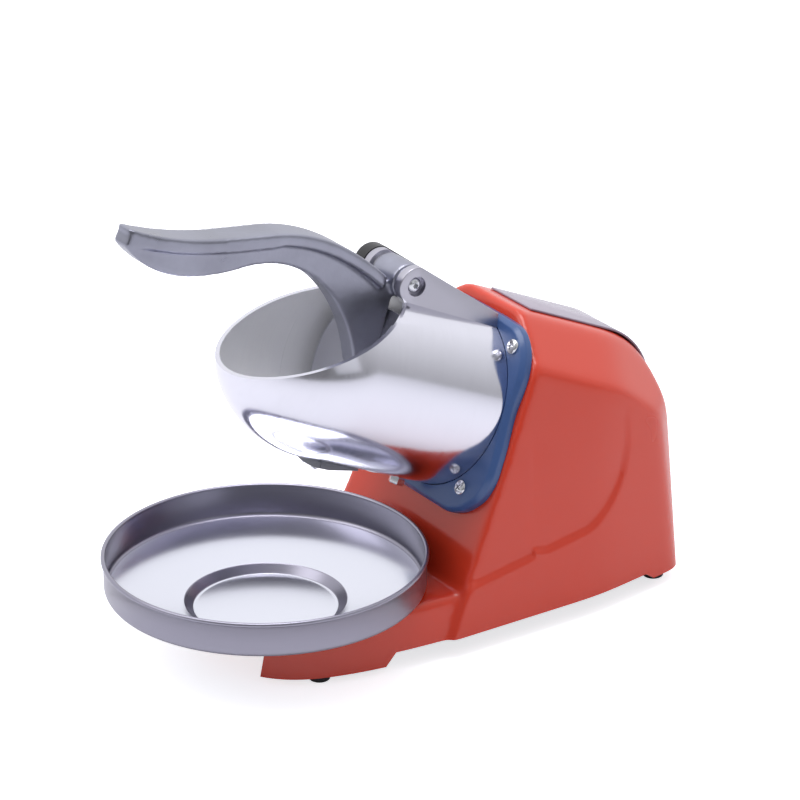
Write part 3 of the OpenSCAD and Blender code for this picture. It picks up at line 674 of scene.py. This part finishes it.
    def trim_bottom(self, body: bpy.types.Object) -> None:
        """Opens the underside and the arch between the front legs, and gives the shell its wall."""
        profile = [(-150, -40), (-150, 5), (-49, 5), (-48, 6), (-43, 11), (-41, 13), (160, 13), (167, 8),
                   (210, 8), (210, -40)]
        work(body, finished(plate(profile, -110, 110), "underside", UPRIGHT), Cut.TAKE_AWAY)
        near = 0.05
        arch = block((-self.arch_half, -150, -10), (self.arch_half, self.arch_back, self.arch_top))
        work(body, finished(arch, "front_arch"), Cut.TAKE_AWAY)
        bm = bmesh.new()
        bm.from_mesh(body.data)
        bm.faces.ensure_lookup_table()
        middle = [(f, f.calc_center_median() / MM) for f in bm.faces]
        bottom = [f for f, c in middle if f.normal.z < -0.6 and c.z < 14.5]
        inside = [(f, c) for f, c in middle if abs(c.x) < self.arch_half + near
                  and c.y < self.arch_back + near and -1 < c.z < self.arch_top + near]
        bottom += [f for f, c in inside if min(abs(abs(c.x) - self.arch_half), abs(c.y - self.arch_back),
                                               abs(c.z - self.arch_top)) < near]
        bmesh.ops.delete(bm, geom=bottom, context="FACES")
        bm.to_mesh(body.data)
        bm.free()
        wall = body.modifiers.new("wall", "SOLIDIFY")
        wall.thickness = self.wall * MM
        wall.offset = -1.0
        wall.use_even_offset = False
        settle(body)

    def cut_openings(self, body: bpy.types.Object) -> None:
        """Cuts the hopper's opening and the rear openings."""
        work(body, finished(rod(60.4, -25, 20, 96), "hopper_room", AXIS.matrix), Cut.TAKE_AWAY)
        low, high = (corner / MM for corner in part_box("rocker_frame"))
        hole = block((low.x + 1.9, low.y - 2, low.z + 1.9), (high.x - 1.9, high.y + 4, high.z - 1.9))
        work(body, finished(hole, "rocker_room"), Cut.TAKE_AWAY)
        low, high = (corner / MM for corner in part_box("cord_gland"))
        centre = (low + high) / 2
        bore = Matrix.Translation(centre) @ Matrix.Rotation(math.radians(90), 4, "X")
        work(body, finished(rod(6.0, -15, 15, 48), "gland_room", bore), Cut.TAKE_AWAY)


@dataclass
class TopPanel:
    """The light grey strip that runs along the flat top and turns down the rear."""

    half_width: float = 22.5
    set_back: float = 16.0
    thickness: float = 1.4
    lift: float = 0.1
    end_z: float = 84.0

    def build(self, shell: HousingShell) -> None:
        """Makes the strip on a housing."""
        lean = math.degrees(math.atan2(AXIS.forward.z, -AXIS.forward.y))
        y, z = shell.crown_centre()
        inner_r = shell.crown_radius + self.lift
        front = AXIS.point(0, shell.top + self.lift, shell.front - self.set_back)
        out = AXIS.matrix.to_3x3() @ Vector((0, self.thickness, 0))
        under = [(front.y, front.z)] + arc((y, z), inner_r, 90 - lean, 0, 20) + [(y + inner_r, self.end_z)]
        over = [(front.y + out.y, front.z + out.z)] + arc((y, z), inner_r + self.thickness, 90 - lean, 0, 20)
        over.append((y + inner_r + self.thickness, self.end_z))
        bm = plate(over + under[::-1], -self.half_width, self.half_width)
        rim = [e for e in bm.edges if e.calc_face_angle(0.0) > math.radians(40)]
        round_edges(bm, rim, 0.5, 3)
        piece = finished(bm, "top_strip", UPRIGHT)
        paint(piece, GREY_PANEL)
        place_piece(piece, "root", "grey_panel", "top_panel")


# ---- Trim and screws -----------------------------------------------------------------------------

@dataclass
class TrimFrame:
    """The blue-grey frame between housing and hopper, with a raised inner level and a sloping border."""

    half_outline: tuple[Point2, ...] = (
        (24, 62.5), (42, 61.5), (51.5, 56), (58.5, 48), (63, 37), (64, 25), (63.5, 10), (68, -15), (70, -36),
        (66, -50), (54, -62), (40, -68), (22, -68))
    border: float = 3.0
    base: float = -7.9

    def outline(self, inset: float) -> list[Point2]:
        """The whole outline, set in all round."""
        right = [(x - inset, y - math.copysign(inset, y)) for x, y in self.half_outline]
        return right + [(-x, y) for x, y in reversed(right)]

    def build(self) -> None:
        """Makes the frame."""
        bm = plate(self.outline(0), self.base, 0.0)
        upright = [e for e in bm.edges if abs(e.verts[0].co.z - e.verts[1].co.z) > 1]
        round_edges(bm, upright, 5.0, 5)
        top = [f for f in bm.faces if f.normal.z > 0.9]
        bmesh.ops.inset_region(bm, faces=top, thickness=self.border, use_even_offset=True)
        top = [f for f in bm.faces if f.normal.z > 0.9 and len(f.verts) > 8]
        rim = {v for f in top for v in f.verts}
        low = [v for v in bm.verts if v.co.z > -1 and v not in rim]
        bmesh.ops.translate(bm, vec=(0, 0, -3.4), verts=low)
        round_edges(bm, {e for f in top for e in f.edges}, 0.9, 4)
        low_rim = [e for e in bm.edges if all(abs(v.co.z + 3.4) < 0.05 for v in e.verts)]
        round_edges(bm, low_rim, 0.8, 3)
        piece = finished(bm, "trim_frame", AXIS.matrix, 28)
        work(piece, finished(rod(60.35, -20, 20, 128), "hole", AXIS.matrix), Cut.TAKE_AWAY)
        reshade(piece, 28)
        paint(piece, TRIM_BLUE)
        place_piece(piece, "root", "blue_grey_trim", "trim_pad")


class Drive(Enum):
    """How a screw's head is turned."""

    CROSS = "cross"
    HEX_SOCKET = "hex_socket"


@dataclass
class DomedScrew:
    """A screw with a domed head, its underside on z = 0 and its axis along +Z."""

    radius: float
    height: float
    drive: Drive = Drive.CROSS
    shank: float = 2.0
    depth: float = 6.0

    def build(self, name: str, place: Matrix) -> bpy.types.Object:
        """Makes one screw at a place."""
        dome = [(self.radius * math.cos(t), self.height * (0.28 + 0.72 * math.sin(t)))
                for t in (math.pi / 2 * i / 9 for i in range(10))]
        dome[-1] = (0, self.height)
        profile = [(0, -self.depth), (self.shank, -self.depth), (self.shank, 0), (self.radius * 0.97, 0),
                   (self.radius, 0.15)] + dome
        head = finished(turned(profile, 48), name, place)
        if self.drive is Drive.CROSS:
            for quarter in (0, 90):
                slot = block((-self.radius * 0.52, -0.55, self.height * 0.42),
                             (self.radius * 0.52, 0.55, self.height + 2))
                turn = place @ Matrix.Rotation(math.radians(quarter + 20), 4, "Z")
                work(head, finished(slot, "slot", turn), Cut.TAKE_AWAY)
        else:
            socket = rod(self.radius * 0.42, self.height * 0.3, self.height + 2, 6)
            work(head, finished(socket, "socket", place),
                 Cut.TAKE_AWAY)
        return reshade(head, 40)


def join(pieces: Sequence[bpy.types.Object], name: str) -> bpy.types.Object:
    """Makes one object of several separate solids."""
    bm = bmesh.new()
    for piece in pieces:
        bm.from_mesh(piece.data)
        bpy.data.objects.remove(piece)
    mesh = bpy.data.meshes.new(name)
    bm.to_mesh(mesh)
    bm.free()
    whole = bpy.data.objects.new(name, mesh)
    bpy.context.scene.collection.objects.link(whole)
    return whole


@dataclass
class TrimScrews:
    """The four pan-head screws at the trim's corners."""

    across: float = 47.0
    up: float = 48.6

    def build(self) -> None:
        """Makes the screws."""
        screw = DomedScrew(4.95, 2.9, Drive.CROSS, 2.0, 7.0)
        heads = []
        for k, (sx, sy) in enumerate(((1, 1), (1, -1), (-1, 1), (-1, -1))):
            place = AXIS.matrix @ Matrix.Translation((sx * self.across, sy * self.up, 0.02))
            heads.append(screw.build(f"head_{k}", place @ Matrix.Rotation(0.7 * k, 4, "Z")))
        piece = join(heads, "trim_pan_screws")
        paint(piece, ZINC)
        place_piece(piece, "root", "bright_steel", "trim_screws")


# ---- Hopper --------------------------------------------------------------------------------------

@dataclass
class HopperCasting:
    """The polished barrel with its rounded nose, sloping mouth and two hinge ears."""

    radius: float = 60.0
    wall: float = 2.9
    barrel: float = 105.0
    nose: float = 73.0
    nose_power: float = 1.85
    mouth_slope: float = 0.74
    mouth_cross: float = 149.5
    web: float = 40.0
    seam: float = 92.0
    ear_inner: float = 16.0
    ear_outer: float = 22.0
    ear_radius: float = 12.5

    def radius_at(self, along: float) -> float:
        """Outer radius at a distance along the axis."""
        k = min(1.0, max(0.0, (along - self.barrel) / self.nose))
        return self.radius * (1 - k ** self.nose_power) ** (1 / self.nose_power)

    def shell_profile(self) -> list[Point2]:
        """Closed outline of the wall as (radius, along), from the rear rim over the nose and back inside."""
        stations = [self.barrel + self.nose * math.sin(math.pi / 2 * i / 26) for i in range(1, 27)]
        outside = [(self.radius, -11.0)] + [(self.radius, self.barrel * i / 6) for i in range(1, 7)]
        outside += [(self.radius_at(a), a) for a in stations]
        shrink = (self.radius - self.wall) / self.radius
        inside = [(self.radius_at(a) * shrink, self.barrel + (a - self.barrel) * (1 - self.wall / self.nose))
                  for a in stations]
        bore = self.radius - self.wall
        inside = inside[::-1] + [(bore, self.barrel), (bore, self.seam + 0.8), (bore + 0.9, self.seam)]
        inside += [(bore + 0.9, self.seam * i / 5) for i in range(4, 0, -1)]
        return outside + inside + [(bore + 0.9, -11.0)]

    def mouth_point(self, along: float) -> float:
        """Height of the mouth's cut over the axis."""
        return (self.mouth_cross - along) * self.mouth_slope

    def ear(self, side: int) -> bpy.types.Object:
        """One hinge ear, which grows thicker towards the barrel."""
        hinge_up, hinge_along = 67.0, 71.0
        outline = [(63.0, 0.05)] + arc((hinge_up, hinge_along), self.ear_radius, 4, 150, 18)
        outline += [(54.6, 76.0), (54.6, 0.05)]
        low, high = sorted((side * self.ear_inner, side * self.ear_outer))
        bm = plate(outline, low, high)
        outer_z = side * self.ear_outer
        for vert in bm.verts:
            if abs(vert.co.z - outer_z) < 0.01:
                drop = max(0.0, hinge_up - 6 - vert.co.x)
                vert.co.z += side * 0.55 * drop * min(1.0, max(0.0, (78 - vert.co.y) / 20))
        edges = [e for e in bm.edges if all(v.co.x > 56 for v in e.verts) and
                 all(abs(abs(v.co.z) - self.ear_inner) > 1 for v in e.verts)]
        round_edges(bm, edges, 1.6, 4)
        return finished(bm, f"ear_{side}", AXIS.matrix @ UPRIGHT)

    def mouth_tool(self) -> bpy.types.Object:
        """The body that the mouth's cut takes away."""
        outline = [(self.mouth_point(60), 60), (self.mouth_point(190), 190), (130, 190), (130, 60)]
        return finished(plate(outline, -90, 90), "mouth", AXIS.matrix @ UPRIGHT)

    def build(self) -> None:
        """Makes the casting."""
        piece = finished(turned(self.shell_profile(), 128), "hopper_casting", AXIS.matrix)
        work(piece, self.mouth_tool(), Cut.TAKE_AWAY)
        rim = piece.modifiers.new("rim", "BEVEL")
        rim.width = 0.0009
        rim.segments = 3
        rim.limit_method = "ANGLE"
        rim.angle_limit = math.radians(50)
        settle(piece)
        bore = [(19, self.web), (self.radius - self.wall + 0.5, self.web),
                (self.radius - self.wall + 0.5, self.web + 4), (8, self.web + 4), (8, self.web)]
        work(piece, finished(turned(bore[1:], 96), "rear_wall", AXIS.matrix), Cut.JOIN)
        for side in (-1, 1):
            work(piece, self.ear(side), Cut.JOIN)
        centre = AXIS.matrix @ Matrix.Translation((0, 67, 71)) @ Matrix.Rotation(math.radians(90), 4, "Y")
        hub_room = finished(rod(13.6, -self.ear_inner, self.ear_inner, 48), "hub_room", centre)
        work(piece, hub_room, Cut.TAKE_AWAY)
        work(piece, finished(rod(4.06, -40, 40, 48), "pin_bore", centre), Cut.TAKE_AWAY)
        recess = finished(rod(6.6, self.ear_outer - 4.0, self.ear_outer + 9, 48), "screw_recess", centre)
        work(piece, recess, Cut.TAKE_AWAY)
        outlet = block((-22, -70, 46), (22, -50, 58))
        work(piece, finished(outlet, "outlet", AXIS.matrix), Cut.TAKE_AWAY)
        low = AXIS.matrix @ Matrix.Translation((0, 0, 13.5)) @ Matrix.Rotation(math.radians(90), 4, "X")
        work(piece, finished(rod(3.1, 40, 80, 32), "bolt_room", low), Cut.TAKE_AWAY)
        self.split_finish(piece)
        reshade(piece, 32)
        place_piece(piece, "root", "polished_aluminium", "hopper")

    def split_finish(self, piece: bpy.types.Object) -> None:
        """Polishes the outside, leaves the ears satin and gives the inside its bored finish, coloured
        near-white as painted light.
        """
        paint(piece, POLISHED, LIT_BORED, EAR_SATIN)
        back = AXIS.matrix.inverted()
        for face in piece.data.polygons:
            centre = back @ (face.center / MM)
            normal = (back.to_3x3() @ face.normal)
            radial = math.hypot(centre.x, centre.y)
            inward = radial > 1 and (normal.x * centre.x + normal.y * centre.y) / radial < -0.3
            if centre.y > 51 and radial > self.radius + 0.25 and centre.z > -8:
                face.material_index = 2
            elif inward or centre.z < self.web + 5 and abs(normal.z) > 0.9:
                face.material_index = 1


@dataclass
class IceOutlet:
    """The dark lip in front of the hopper's ice outlet, and the clamp bolt behind it."""

    inner: float = 60.08
    outer: float = 64.6
    along: tuple[float, float] = (59.0, 90.0)
    half_angle: float = 15.0

    def build(self) -> None:
        """Makes the lip and the bolt."""
        low, high = self.along
        profile = [(self.inner, low), (self.inner + 1.12, low), (self.outer, high - 8),
                   (self.outer, high), (self.inner, high)]
        bm = turned(profile, 28, 2 * self.half_angle)
        turn = Matrix.Rotation(math.radians(-90 - self.half_angle), 4, "Z")
        corners = [e for e in bm.edges if e.calc_face_angle(0.0) > math.radians(60)
                   and e.calc_length() < 6 and abs(e.verts[0].co.z - e.verts[1].co.z) < 0.1]
        round_edges(bm, corners, 5.0, 6)
        round_edges(bm, [e for e in sharp_edges(bm, 50) if max(v.co.xy.length for v in e.verts) > 64], 1.3, 3)
        piece = finished(bm, "outlet_collar", AXIS.matrix @ turn)
        reshade(piece)
        paint(piece, DARK_CAST)
        place_piece(piece, "root", "cast_aluminium_dark", "ice_spout")
        self.bolt()

    def bolt(self) -> None:
        """The hexagon bolt whose head hangs below the hopper."""
        head = rod(5.5, 60.1, 65.7, 6)
        round_edges(head, [e for e in head.edges if all(v.co.z > 65 for v in e.verts)], 0.7, 2)
        place = AXIS.matrix @ Matrix.Translation((0, 0, 13.5)) @ Matrix.Rotation(math.radians(90), 4, "X")
        shank = finished(rod(3.0, 36.3, 60.2, 32), "shank", place)
        piece = work(finished(head, "hex_clamp_bolt", place), shank, Cut.JOIN)
        paint(reshade(piece), ZINC)
        place_piece(piece, "root", "bright_steel", "clamp_bolt")


# ---- Lever ---------------------------------------------------------------------------------------

@dataclass
class PressLever:
    """The cast lever: a curved handle with a wide top flange over a narrower web that enters the hopper."""

    flange_half: float = 13.0
    web_half: float = 8.0
    softening: int = 9
    grain_size: float = 0.95
    handle_top: tuple[Point2, ...] = ((-188, 310.5), (-150, 292.5), (-120, 291), (-84, 286.5))
    shoulder_top: tuple[Point2, ...] = ((-84, 286.5), (-50, 281), (-26, 262), (-5, 241))
    handle_under: tuple[Point2, ...] = ((-191, 299.5), (-172, 272), (-142, 266), (-108, 268))
    neck_under: tuple[Point2, ...] = ((-108, 268), (-60, 271), (-31, 228), (-28, 186))

    def side(self) -> list[Point2]:
        """Outline of the web as (Y, Z)."""
        top = bezier(self.handle_top, 12) + bezier(self.shoulder_top, 14)[1:]
        under = bezier(self.handle_under, 12) + bezier(self.neck_under, 16)[1:]
        top = [(y + 1.0, z - 3.0) for y, z in top]
        return top + [(1, 226), (-6, 202), (-12, 182), (-25, 174)] + under[::-1]

    def flange(self) -> list[Point2]:
        """Side outline of the wide top flange as (Y, Z)."""
        top = bezier(self.handle_top, 12) + bezier(self.shoulder_top, 14)[1:]
        lower = [(-188, 299.8)] + [(y - 1.5, z - 9.0) for y, z in bezier(self.handle_top, 12)[2:]]
        lower += [(y - 3.5, z - 7.5) for y, z in bezier(self.shoulder_top, 14)[1:]]
        return top + lower[::-1]

    def plan(self) -> list[Point2]:
        """Outline of the flange from above as (X, Y): full width in the middle, narrower at the tip."""
        w = self.flange_half
        side = [(w, 20), (w, -60), (w - 0.5, -110), (w - 1.0, -150), (w - 2.0, -172), (w - 4.5, -185),
                (4, -192)]
        return side + [(-x, y) for x, y in reversed(side)]

    def build(self) -> None:
        """Makes the lever casting."""
        piece = finished(plate(self.side(), -self.web_half, self.web_half), "press_lever_casting", UPRIGHT)
        flange = finished(plate(self.flange(), -self.flange_half, self.flange_half), "flange", UPRIGHT)
        work(flange, finished(plate(self.plan(), 200, 340), "plan"), Cut.KEEP_COMMON)
        work(piece, flange, Cut.JOIN)
        hub_place = Matrix.Translation(HINGE) @ Matrix.Rotation(math.radians(90), 4, "Y")
        work(piece, finished(rod(12.0, -13, 13, 64), "hub", hub_place), Cut.JOIN)
        boss = AXIS.matrix @ Matrix.Translation((0, 0, 73.3))
        work(piece, finished(block((-9, -26, 0), (9, 18, 7)), "boss", boss), Cut.JOIN)
        remesh = piece.modifiers.new("even", "REMESH")
        remesh.mode = "VOXEL"
        remesh.voxel_size = self.grain_size * MM
        settle(piece)
        soften(piece, self.softening)
        work(piece, finished(rod(4.02, -40, 40, 48), "pin_bore", hub_place), Cut.TAKE_AWAY)
        room = AXIS.matrix @ Matrix.Translation((0, 0, 73.25))
        work(piece, finished(block((-30, -70, -30), (30, 47, 0)), "plate_room", room), Cut.TAKE_AWAY)
        for face in piece.data.polygons:
            face.use_smooth = True
        reshade(piece, 50)
        paint(piece, CAST)
        place_piece(piece, "lever", "cast_aluminium", "lever")
        self.hinge_parts()

    def hinge_parts(self) -> None:
        """The bright spacers beside the hub and the socket screw in the near ear."""
        place = Matrix.Translation(HINGE) @ Matrix.Rotation(math.radians(90), 4, "Y")
        rings = []
        for k, low in enumerate((-15.85, 13.05)):
            bm = turned([(4.05, low), (10.0, low), (10.5, low + 0.5), (10.5, low + 2.3), (10.0, low + 2.8),
                         (4.05, low + 2.8)], 64)
            rings.append(finished(bm, f"ring_{k}", place))
        spacers = join(rings, "hinge_spacer_rings")
        paint(spacers, ZINC)
        place_piece(spacers, "lever", "bright_steel", "hinge_spacers")
        head = Matrix.Translation(HINGE + Vector((18.02, 0, 0))) @ Matrix.Rotation(math.radians(90), 4, "Y")
        screw = DomedScrew(4.9, 3.2, Drive.HEX_SOCKET, 1.98, 9.0).build("hinge_socket_screw", head)
        paint(screw, ZINC)
        place_piece(screw, "lever", "bright_steel", "hinge_screw")


@dataclass
class SafetySwitch:
    """The black cover on the far ear."""

    inner_x: float = -22.3
    outer_x: float = -33.3

    def build(self) -> None:
        """Makes the cover."""
        head = arc((67.0, 71.0), 12.8, -8, 172, 24)
        tail = arc((63.5, 30.0), 7.0, 172, 352, 14)
        bm = plate(head + tail, self.outer_x, self.inner_x)
        rim = [e for e in bm.edges if all(abs(v.co.z - self.outer_x) < 0.01 for v in e.verts)]
        round_edges(bm, rim, 2.0, 5)
        piece = finished(bm, "switch_housing_cover", AXIS.matrix @ UPRIGHT)
        inner = plate(arc((67.0, 71.0), 11.0, -8, 172, 24) + arc((63.5, 30.0), 5.2, 172, 352, 14),
                      self.outer_x + 1.8, self.inner_x + 4)
        work(piece, finished(inner, "inside", AXIS.matrix @ UPRIGHT), Cut.TAKE_AWAY)
        work(piece, finished(rod(60.1, 0, 120, 96), "barrel_room", AXIS.matrix), Cut.TAKE_AWAY)
        reshade(piece)
        paint(piece, SATIN_BLACK)
        place_piece(piece, "root", "black_plastic", "switch_cover")


# ---- Bowl and feet -------------------------------------------------------------------------------

@dataclass
class ServingBowl:
    """The pressed stainless bowl with a rolled rim and a stepped round middle."""

    radius: float = 105.0
    centre_y: float = -91.5
    top: float = 68.0
    sheet: float = 0.8
    bead: float = 1.5
    foot: Point2 = (99.5, 47.8)
    foot_radius: float = 4.0
    step_radius: float = 54.5
    step_z: float = 33.2
    slope: float = 0.23
    recess: float = 5.0

    def profile(self) -> list[Point2]:
        """Closed outline of the sheet as (radius, height)."""
        wall, lip_z = self.radius - self.bead, self.top - self.bead
        lean = math.degrees(math.atan(self.slope))
        upper = self.step_z + self.sheet / math.cos(math.radians(lean))
        low = upper - self.recess
        inside = [(0, low), (44.5, low)] + arc((46.0, low + 1.7), 1.7, -80, -35, 4)
        inside += arc((53.2, upper - 1.9), 2.0, 140, 96 + lean, 5) + [(56.5, upper + 2 * self.slope)]
        inside += arc(self.foot, self.foot_radius - self.sheet, lean - 90, -6, 12)
        inside.append((wall - 0.9, lip_z - 1.2))
        outside = arc((wall, lip_z), self.bead, 170, -60, 18) + [(wall, lip_z - 1.9)]
        outside += arc(self.foot, self.foot_radius, -6, lean - 90, 12) + [(self.step_radius, self.step_z)]
        outside += [(51.9, self.step_z - 0.4), (48.6, self.step_z - 3.8), (47.2, self.step_z - self.recess),
                    (0, self.step_z - self.recess)]
        return inside + outside

    def build(self) -> None:
        """Makes the bowl."""
        place = Matrix.Translation((0, self.centre_y, 0))
        piece = finished(turned(self.profile(), 192), "serving_bowl", place, 60)
        paint(piece, SHADED_BOWL_STEEL, LIT_BOWL_FLOOR)
        # Up-facing floor faces get the lit copy of the bowl steel and the walls get the shaded copy: painted
        # light and shade
        for face in piece.data.polygons:
            flat = face.normal.z > 0.95 and face.center.z < self.foot[1] * MM
            face.material_index = 1 if flat else 0
        place_piece(piece, "bowl", "brushed_stainless", "bowl")


@dataclass
class RubberFeet:
    """The four feet under the base plate."""

    places: tuple[Point2, ...] = ((57.5, -87.5), (-57.5, -87.5), (54, 179), (-54, 179))

    def build(self) -> None:
        """Makes the feet."""
        profile = [(3.4, 0.4), (3.8, 0.0), (5.6, 0.0)] + arc((5.6, 1.4), 1.4, -80, 0, 5)
        profile += [(7.0, 3.8), (6.6, 4.5), (5.0, 4.6), (5.0, 13.9), (1.95, 13.9), (1.95, 4.0), (3.4, 4.0)]
        feet = [finished(turned(profile, 48), f"foot_{k}", Matrix.Translation((x, y, 0)))
                for k, (x, y) in enumerate(self.places)]
        piece = join(feet, "rubber_foot_set")
        paint(piece, RUBBER)
        place_piece(piece, "root", "foot_rubber", "rubber_feet")


# ---- Carried-over CAD nodes ----------------------------------------------------------------------

DRESSED: dict[Finish, tuple[str, ...]] = {
    BASE_BLACK: ("base_plate",),
    ZINC: ("base_screws", "foot_screws", "spout_screws", "motor_screws", "board_screws", "front_bearing",
           "rear_bearing", "blade_screws", "pusher_screws", "hinge_pin", "disc_nut", "motor_shaft"),
    MOTOR_STEEL: ("motor_can",),
    SATIN_BLACK: ("motor_end_cap", "cooling_fan", "rocker_frame", "cord_gland"),
    MAGNET: ("motor_magnets", "brushes"),
    COPPER: ("armature", "commutator"),
    BOARD: ("rectifier_board",),
    SWITCH_RED: ("micro_switch", "rocker"),
    NYLON: ("switch_plunger", "switch_cam"),
    # blade disc and blades: ground steel coloured near-white as painted light
    LIT_GROUND: ("blade_disc", "blades"),
    PRESSER: ("pusher_plate",),
}


def dress_cad_nodes() -> None:
    """Gives every CAD node that stays its finish."""
    for finish, names in DRESSED.items():
        for name in names:
            paint(frame["nodes"][name], finish)
            LOG.info("%s dressed in %s", name, finish.name)


# ---- Studio --------------------------------------------------------------------------------------

@dataclass
class Studio:
    """White sweep, soft lights and the camera."""

    eye: Point3 = (1.96996, -1.29201, 1.17336)
    look: Point3 = (-0.764954, 0.506312, -0.398111)
    lens: float = 180.0
    bright_side: Point3 = (-0.74, 0.42, 0.52)
    room_levels: tuple[tuple[float, float], tuple[float, float]] = ((0.15, 0.20), (0.84, 1.05))
    floor_glow: tuple[float, float] = (0.72, 0.10)
    lights: tuple[tuple[str, Point3, float, float, Point3], ...] = (
        ("key_softbox", (-0.7, -1.5, 1.8), 1.2, 8.0, (1.0, 0.99, 0.98)),
        ("top_softbox", (-0.2, 0.0, 1.9), 1.1, 16.0, (0.98, 0.98, 1.0)),
        ("side_fill", (2.2, 0.3, 0.9), 1.0, 1.2, (0.94, 0.96, 1.0)),
    )

    def camera(self) -> None:
        """Places the camera."""
        data = bpy.data.cameras.new("studio_camera")
        data.lens = self.lens
        data.clip_start = 0.05
        camera = bpy.data.objects.new("studio_camera", data)
        camera.location = self.eye
        camera.rotation_mode = "QUATERNION"
        camera.rotation_quaternion = Vector(self.look).to_track_quat("-Z", "Y")
        bpy.context.scene.collection.objects.link(camera)
        bpy.context.scene.camera = camera

    def sweep(self) -> None:
        """Lays the pale floor."""
        bm = bmesh.new()
        bmesh.ops.create_grid(bm, x_segments=2, y_segments=2, size=6000)
        floor = finished(bm, "floor", Matrix.Translation((0, 0, -0.05)))
        material = bpy.data.materials.new("pale_floor")
        material.use_nodes = True
        shader = material.node_tree.nodes["Principled BSDF"]
        shader.inputs["Base Color"].default_value = (0.80, 0.80, 0.83, 1)
        shader.inputs["Roughness"].default_value = 0.8
        shader.inputs["Specular IOR Level"].default_value = 0.0
        shader.inputs["Emission Color"].default_value = (0.97, 0.98, 1, 1)
        n = Nodes(material.node_tree)
        path = n.add("ShaderNodeLightPath")
        seen, mirrored = self.floor_glow
        glow = n.math("ADD", n.math("MULTIPLY", path.outputs["Is Camera Ray"], seen - mirrored), mirrored)
        n.link(glow, shader.inputs["Emission Strength"])
        floor.data.materials.append(material)

    def world(self) -> None:
        """A white room: plain white to the eye, softly graded in reflections."""
        world = bpy.data.worlds.new("studio")
        bpy.context.scene.world = world
        world.use_nodes = True
        n = Nodes(world.node_tree)
        world.node_tree.nodes.clear()
        place = n.add("ShaderNodeTexCoord")
        toward = n.add("ShaderNodeVectorMath", operation="DOT_PRODUCT")
        n.link(place.outputs["Generated"], toward.inputs[0])
        toward.inputs[1].default_value = self.bright_side
        ramp = n.add("ShaderNodeValToRGB")
        for stop, level in zip(ramp.color_ramp.elements, self.room_levels):
            stop.position = level[0]
            stop.color = (level[1] * 0.98, level[1] * 0.985, level[1], 1)
        n.link(n.math("MULTIPLY", n.math("ADD", toward.outputs["Value"], 1.0), 0.5), ramp.inputs["Fac"])
        soft = n.add("ShaderNodeBackground", Strength=1.0)
        n.link(ramp.outputs["Color"], soft.inputs["Color"])
        plain = n.add("ShaderNodeBackground", Strength=1.0)
        plain.inputs["Color"].default_value = (1, 1, 1, 1)
        path = n.add("ShaderNodeLightPath")
        mix = n.add("ShaderNodeMixShader")
        n.link(path.outputs["Is Camera Ray"], mix.inputs[0])
        n.link(soft.outputs[0], mix.inputs[1])
        n.link(plain.outputs[0], mix.inputs[2])
        n.link(mix.outputs[0], n.add("ShaderNodeOutputWorld").inputs[0])

    def softboxes(self) -> None:
        """Hangs the area lights."""
        aim = Vector((0.0, 0.0, 0.12))
        for name, place, size, power, colour in self.lights:
            data = bpy.data.lights.new(name, "AREA")
            data.size = size
            data.energy = power
            data.color = colour
            lamp = bpy.data.objects.new(name, data)
            lamp.location = place
            lamp.rotation_mode = "QUATERNION"
            lamp.rotation_quaternion = (aim - Vector(place)).to_track_quat("-Z", "Y")
            bpy.context.scene.collection.objects.link(lamp)

    def build(self) -> None:
        """Sets the studio up."""
        self.camera()
        self.sweep()
        self.world()
        self.softboxes()
        bpy.context.scene.view_settings.view_transform = "Standard"


def main() -> None:
    """Builds the studio and every piece."""
    logging.basicConfig(level=logging.INFO, format="%(name)s: %(message)s")
    Studio().build()
    shell = HousingShell()
    shell.build()
    TopPanel().build(shell)
    for assembly in (TrimFrame(), TrimScrews(), HopperCasting(), IceOutlet(), PressLever(), SafetySwitch(),
                     ServingBowl(), RubberFeet()):
        assembly.build()
    dress_cad_nodes()


if __name__ == "__main__":
    main()
